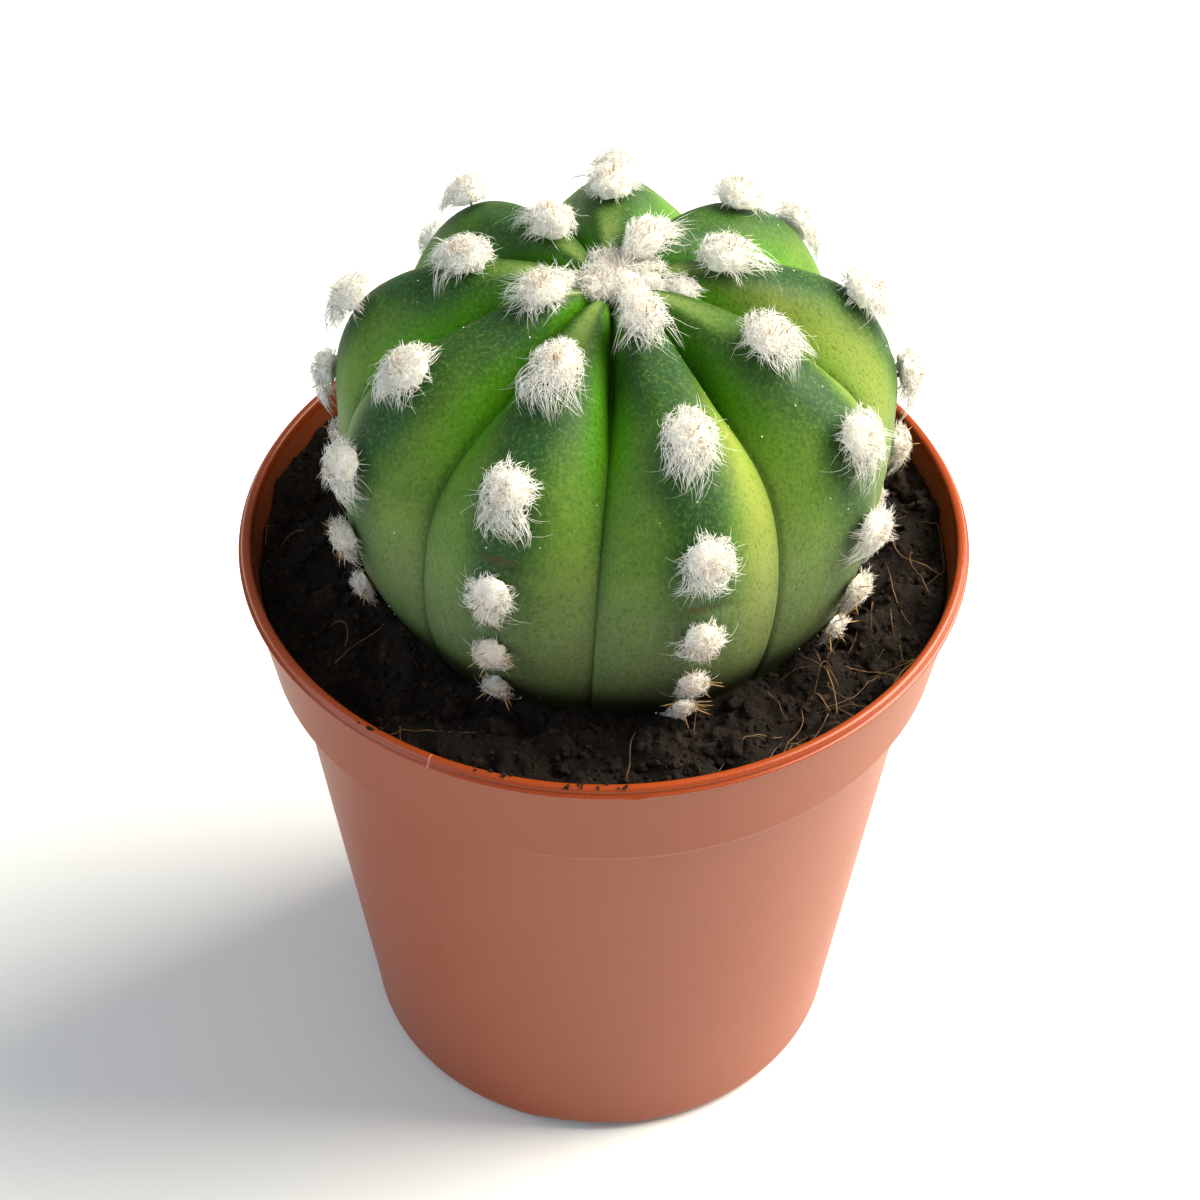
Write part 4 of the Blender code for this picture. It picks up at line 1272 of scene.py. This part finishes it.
def grow_tuft(wool, rng, patch):
    """Mound, hanging locks and stray hairs of one areole."""
    size = patch.size
    grown = float(np.interp(patch.arc, GROWN_ARCS, (0.45, 1.0)))
    wool.age = float(np.interp(patch.arc, OLD_ARCS, (0.0, 0.35)))
    wool.add_mound(rng, patch, **TUFT_RECIPE)
    locks = hanging_locks(rng, size, int(rng.integers(5, 8)), int(16 * bulk(size) * grown),
                          (1.2, 1.2 + 0.9 * grown))
    wool.add_hairs(patch, locks, thickness=0.85)
    strays = stray_hairs(rng, size, int(24 * bulk(size) * grown))
    wool.add_hairs(patch, strays, thickness=0.55, clearance=STRAY_CLEARANCE)


class CACTUS_OT_make_tufts(bpy.types.Operator):
    """Grow the wool tufts, one piece for each rib"""
    bl_idname = "cactus.make_tufts"
    bl_label = "Wool tufts"

    def execute(self, context):
        settings = context.scene.cactus_wool
        finish = wool_finish(settings)
        for rib in range(RIB_COUNT):
            wool = Wool(settings)
            for number, areole in enumerate(AREOLES):
                if number * RIBS_PER_STEP % RIB_COUNT == rib:
                    grow_tuft(wool, np.random.default_rng([SEED, number]), Patch(*areole))
            settle(wool.piece(f"wool_rib_{rib + 1}"), finish, "areole_wool")
        return {"FINISHED"}


class CACTUS_OT_make_crown_wool(bpy.types.Operator):
    """Fill the crown with the matted wool of the youngest areoles"""
    bl_idname = "cactus.make_crown_wool"
    bl_label = "Crown wool"

    def execute(self, context):
        settings = context.scene.cactus_wool
        rng = np.random.default_rng(SEED + 2)
        wool = Wool(settings)
        for mound in CROWN_MOUNDS:
            wool.add_mound(rng, CrownPatch(*(part * MM for part in mound)), **CROWN_RECIPE)
        settle(wool.piece("wool_crown"), wool_finish(settings), "areole_wool")
        return {"FINISHED"}


class CACTUS_OT_make_flakes(bpy.types.Operator):
    """Scatter the small white flakes that lie on the skin below the tufts"""
    bl_idname = "cactus.make_flakes"
    bl_label = "Skin flakes"

    def execute(self, context):
        rng = np.random.default_rng(SEED + 5)
        chosen = rng.integers(0, len(AREOLES), FLAKE_COUNT)
        centres = np.empty((FLAKE_COUNT, 3))
        for index, areole in enumerate(AREOLES):
            mine = np.flatnonzero(chosen == index)
            local = np.stack([rng.normal(0, 1.0, len(mine)) * areole[2],
                              rng.uniform(0.9, 2.6, len(mine)) * areole[2],
                              np.full(len(mine), FLAKE_LIFT)], axis=1)
            patch = Patch(*areole)
            patch.drape = 1.0
            centres[mine] = patch.world(local)
        sizes = rng.uniform(*FLAKE_SIZES, FLAKE_COUNT)
        piece, owners = scattered("skin_flakes", rng, clod_shapes(rng, 1, 5), centres, sizes, smooth=False)
        mark(piece, "tint", np.zeros(len(owners)))
        settle(piece, wool_finish(context.scene.cactus_wool), "areole_wool")
        return {"FINISHED"}


def spine_finish(settings):
    finish = Finish("spine", roughness=0.5)
    bands = finish.noise(0.8 * MM, detail=3)
    dark = tuple(0.45 * part for part in settings.spine)
    finish.paint(finish.mix(settings.spine, dark, bands.step(0.5, 0.8)))
    finish.emboss(finish.noise(0.1 * MM), 0.02 * MM)
    return finish


class CACTUS_OT_make_spines(bpy.types.Operator):
    """Set the short spines in the middle of each tuft"""
    bl_idname = "cactus.make_spines"
    bl_label = "Spines"

    def execute(self, context):
        settings = context.scene.cactus_wool
        steps = np.linspace(0, 1, 6)
        paths = []
        for number, areole in enumerate(AREOLES):
            rng = np.random.default_rng([SEED + 3, number])
            patch = Patch(*areole)
            older = float(np.interp(patch.arc, SPREAD_ARCS, (0, 1)))
            count = int(rng.integers(5, 9))
            heading = rng.uniform(0, math.tau, count)
            lean = rng.uniform(0.05 + 0.5 * older, 0.4 + 0.9 * older, count)
            length = (1.36 + 0.45 * older) * max(patch.size, SPINY_SIZE_LEAST)
            length = length * rng.uniform(0.85, 1.08, count)
            flat = np.stack([np.cos(heading), np.sin(heading)], axis=1) * (length * np.sin(lean))[:, None]
            up = (length * np.cos(lean))[:, None] * steps * (1.15 - 0.15 * steps) + SPINE_ROOT
            local = np.concatenate([flat[:, None] * steps[:, None], up[..., None]], axis=2)
            paths.append(patch.world(local))
        paths = np.concatenate(paths)
        radii = np.broadcast_to(SPINE_RADIUS * (1 - 0.75 * steps), paths.shape[:2])
        settle(mesh_piece("spines", *tubes(paths, radii, 5)), spine_finish(settings), "spine")
        return {"FINISHED"}


def add_light(name, power, size, place, colour):
    light = bpy.data.lights.new(name, "AREA")
    light.energy, light.shape, light.color = power, "RECTANGLE", colour
    light.size, light.size_y = size
    lamp = bpy.data.objects.new(name, light)
    lamp.location = place
    lamp.rotation_euler = (LIGHT_TARGET - Vector(place)).to_track_quat("-Z", "Y").to_euler()
    bpy.context.scene.collection.objects.link(lamp)


def add_camera(elevation):
    camera = bpy.data.cameras.new("camera")
    camera.sensor_width = SENSOR
    camera.lens = FOCAL_PIXELS / FRAME_PIXELS * SENSOR
    camera.shift_x = (FRAME_PIXELS / 2 - FRAME_CENTRE[0]) / FRAME_PIXELS
    camera.shift_y = -(FRAME_PIXELS / 2 - FRAME_CENTRE[1]) / FRAME_PIXELS
    camera.clip_start = 0.01
    holder = bpy.data.objects.new("camera", camera)
    back = Vector((0.0, -math.cos(elevation), math.sin(elevation)))
    place = Matrix.Translation(Vector((0.0, 0.0, POT_HEIGHT)) + back * CAMERA_DISTANCE)
    turn = back.to_track_quat("Z", "Y").to_matrix().to_4x4()
    holder.matrix_world = place @ turn @ Matrix.Rotation(CAMERA_ROLL, 4, "Z")
    bpy.context.scene.collection.objects.link(holder)
    bpy.context.scene.camera = holder


class CACTUS_OT_set_stage(bpy.types.Operator):
    """Lay the floor and set the camera and the lights"""
    bl_idname = "cactus.set_stage"
    bl_label = "Stage"

    def execute(self, context):
        settings = context.scene.cactus_stage
        deselect_all()
        bpy.ops.mesh.primitive_plane_add(size=8.0)
        floor = bpy.context.active_object
        floor.name = "floor"
        finish = Finish("floor", roughness=0.9)
        finish.paint(settings.floor)
        floor.data.materials.append(finish.material)
        add_camera(settings.elevation)
        for name, size, place, colour in LIGHTS:
            add_light(name, getattr(settings, name), size, place, colour)
        world = bpy.data.worlds.new("studio")
        world.use_nodes = True
        background = world.node_tree.nodes["Background"]
        background.inputs["Color"].default_value = (1.0, 1.0, 1.0, 1.0)
        background.inputs["Strength"].default_value = settings.sky
        context.scene.world = world
        context.scene.view_settings.view_transform = "Standard"
        return {"FINISHED"}


OPERATORS = (
    CACTUS_OT_make_pot,
    CACTUS_OT_make_peat,
    CACTUS_OT_make_clods,
    CACTUS_OT_make_rim_crumbs,
    CACTUS_OT_make_fibres,
    CACTUS_OT_make_skin,
    CACTUS_OT_make_tufts,
    CACTUS_OT_make_crown_wool,
    CACTUS_OT_make_spines,
    CACTUS_OT_make_flakes,
    CACTUS_OT_set_stage,
)
SETTINGS = {
    "cactus_pot": PotSettings,
    "cactus_peat": PeatSettings,
    "cactus_skin": SkinSettings,
    "cactus_wool": WoolSettings,
    "cactus_stage": StageSettings,
}


class CACTUS_PT_panel(bpy.types.Panel):
    """Sidebar panel with the steps and their settings"""
    bl_idname = "CACTUS_PT_panel"
    bl_label = "Potted cactus"
    bl_space_type = "VIEW_3D"
    bl_region_type = "UI"
    bl_category = "Cactus"

    def draw(self, context):
        for operator in OPERATORS:
            self.layout.operator(operator.bl_idname)
        for name, group in SETTINGS.items():
            box = self.layout.box()
            box.label(text=group.__doc__)
            for setting in group.__annotations__:
                box.prop(getattr(context.scene, name), setting)


def register():
    for name, group in SETTINGS.items():
        bpy.utils.register_class(group)
        setattr(bpy.types.Scene, name, PointerProperty(type=group))
    for operator in OPERATORS:
        bpy.utils.register_class(operator)
    bpy.utils.register_class(CACTUS_PT_panel)


def unregister():
    bpy.utils.unregister_class(CACTUS_PT_panel)
    for operator in reversed(OPERATORS):
        bpy.utils.unregister_class(operator)
    for name, group in SETTINGS.items():
        delattr(bpy.types.Scene, name)
        bpy.utils.unregister_class(group)


def main():
    register()
    for operator in OPERATORS:
        step = operator.bl_idname.split(".")[1]
        getattr(bpy.ops.cactus, step)()


if __name__ == "__main__":
    main()
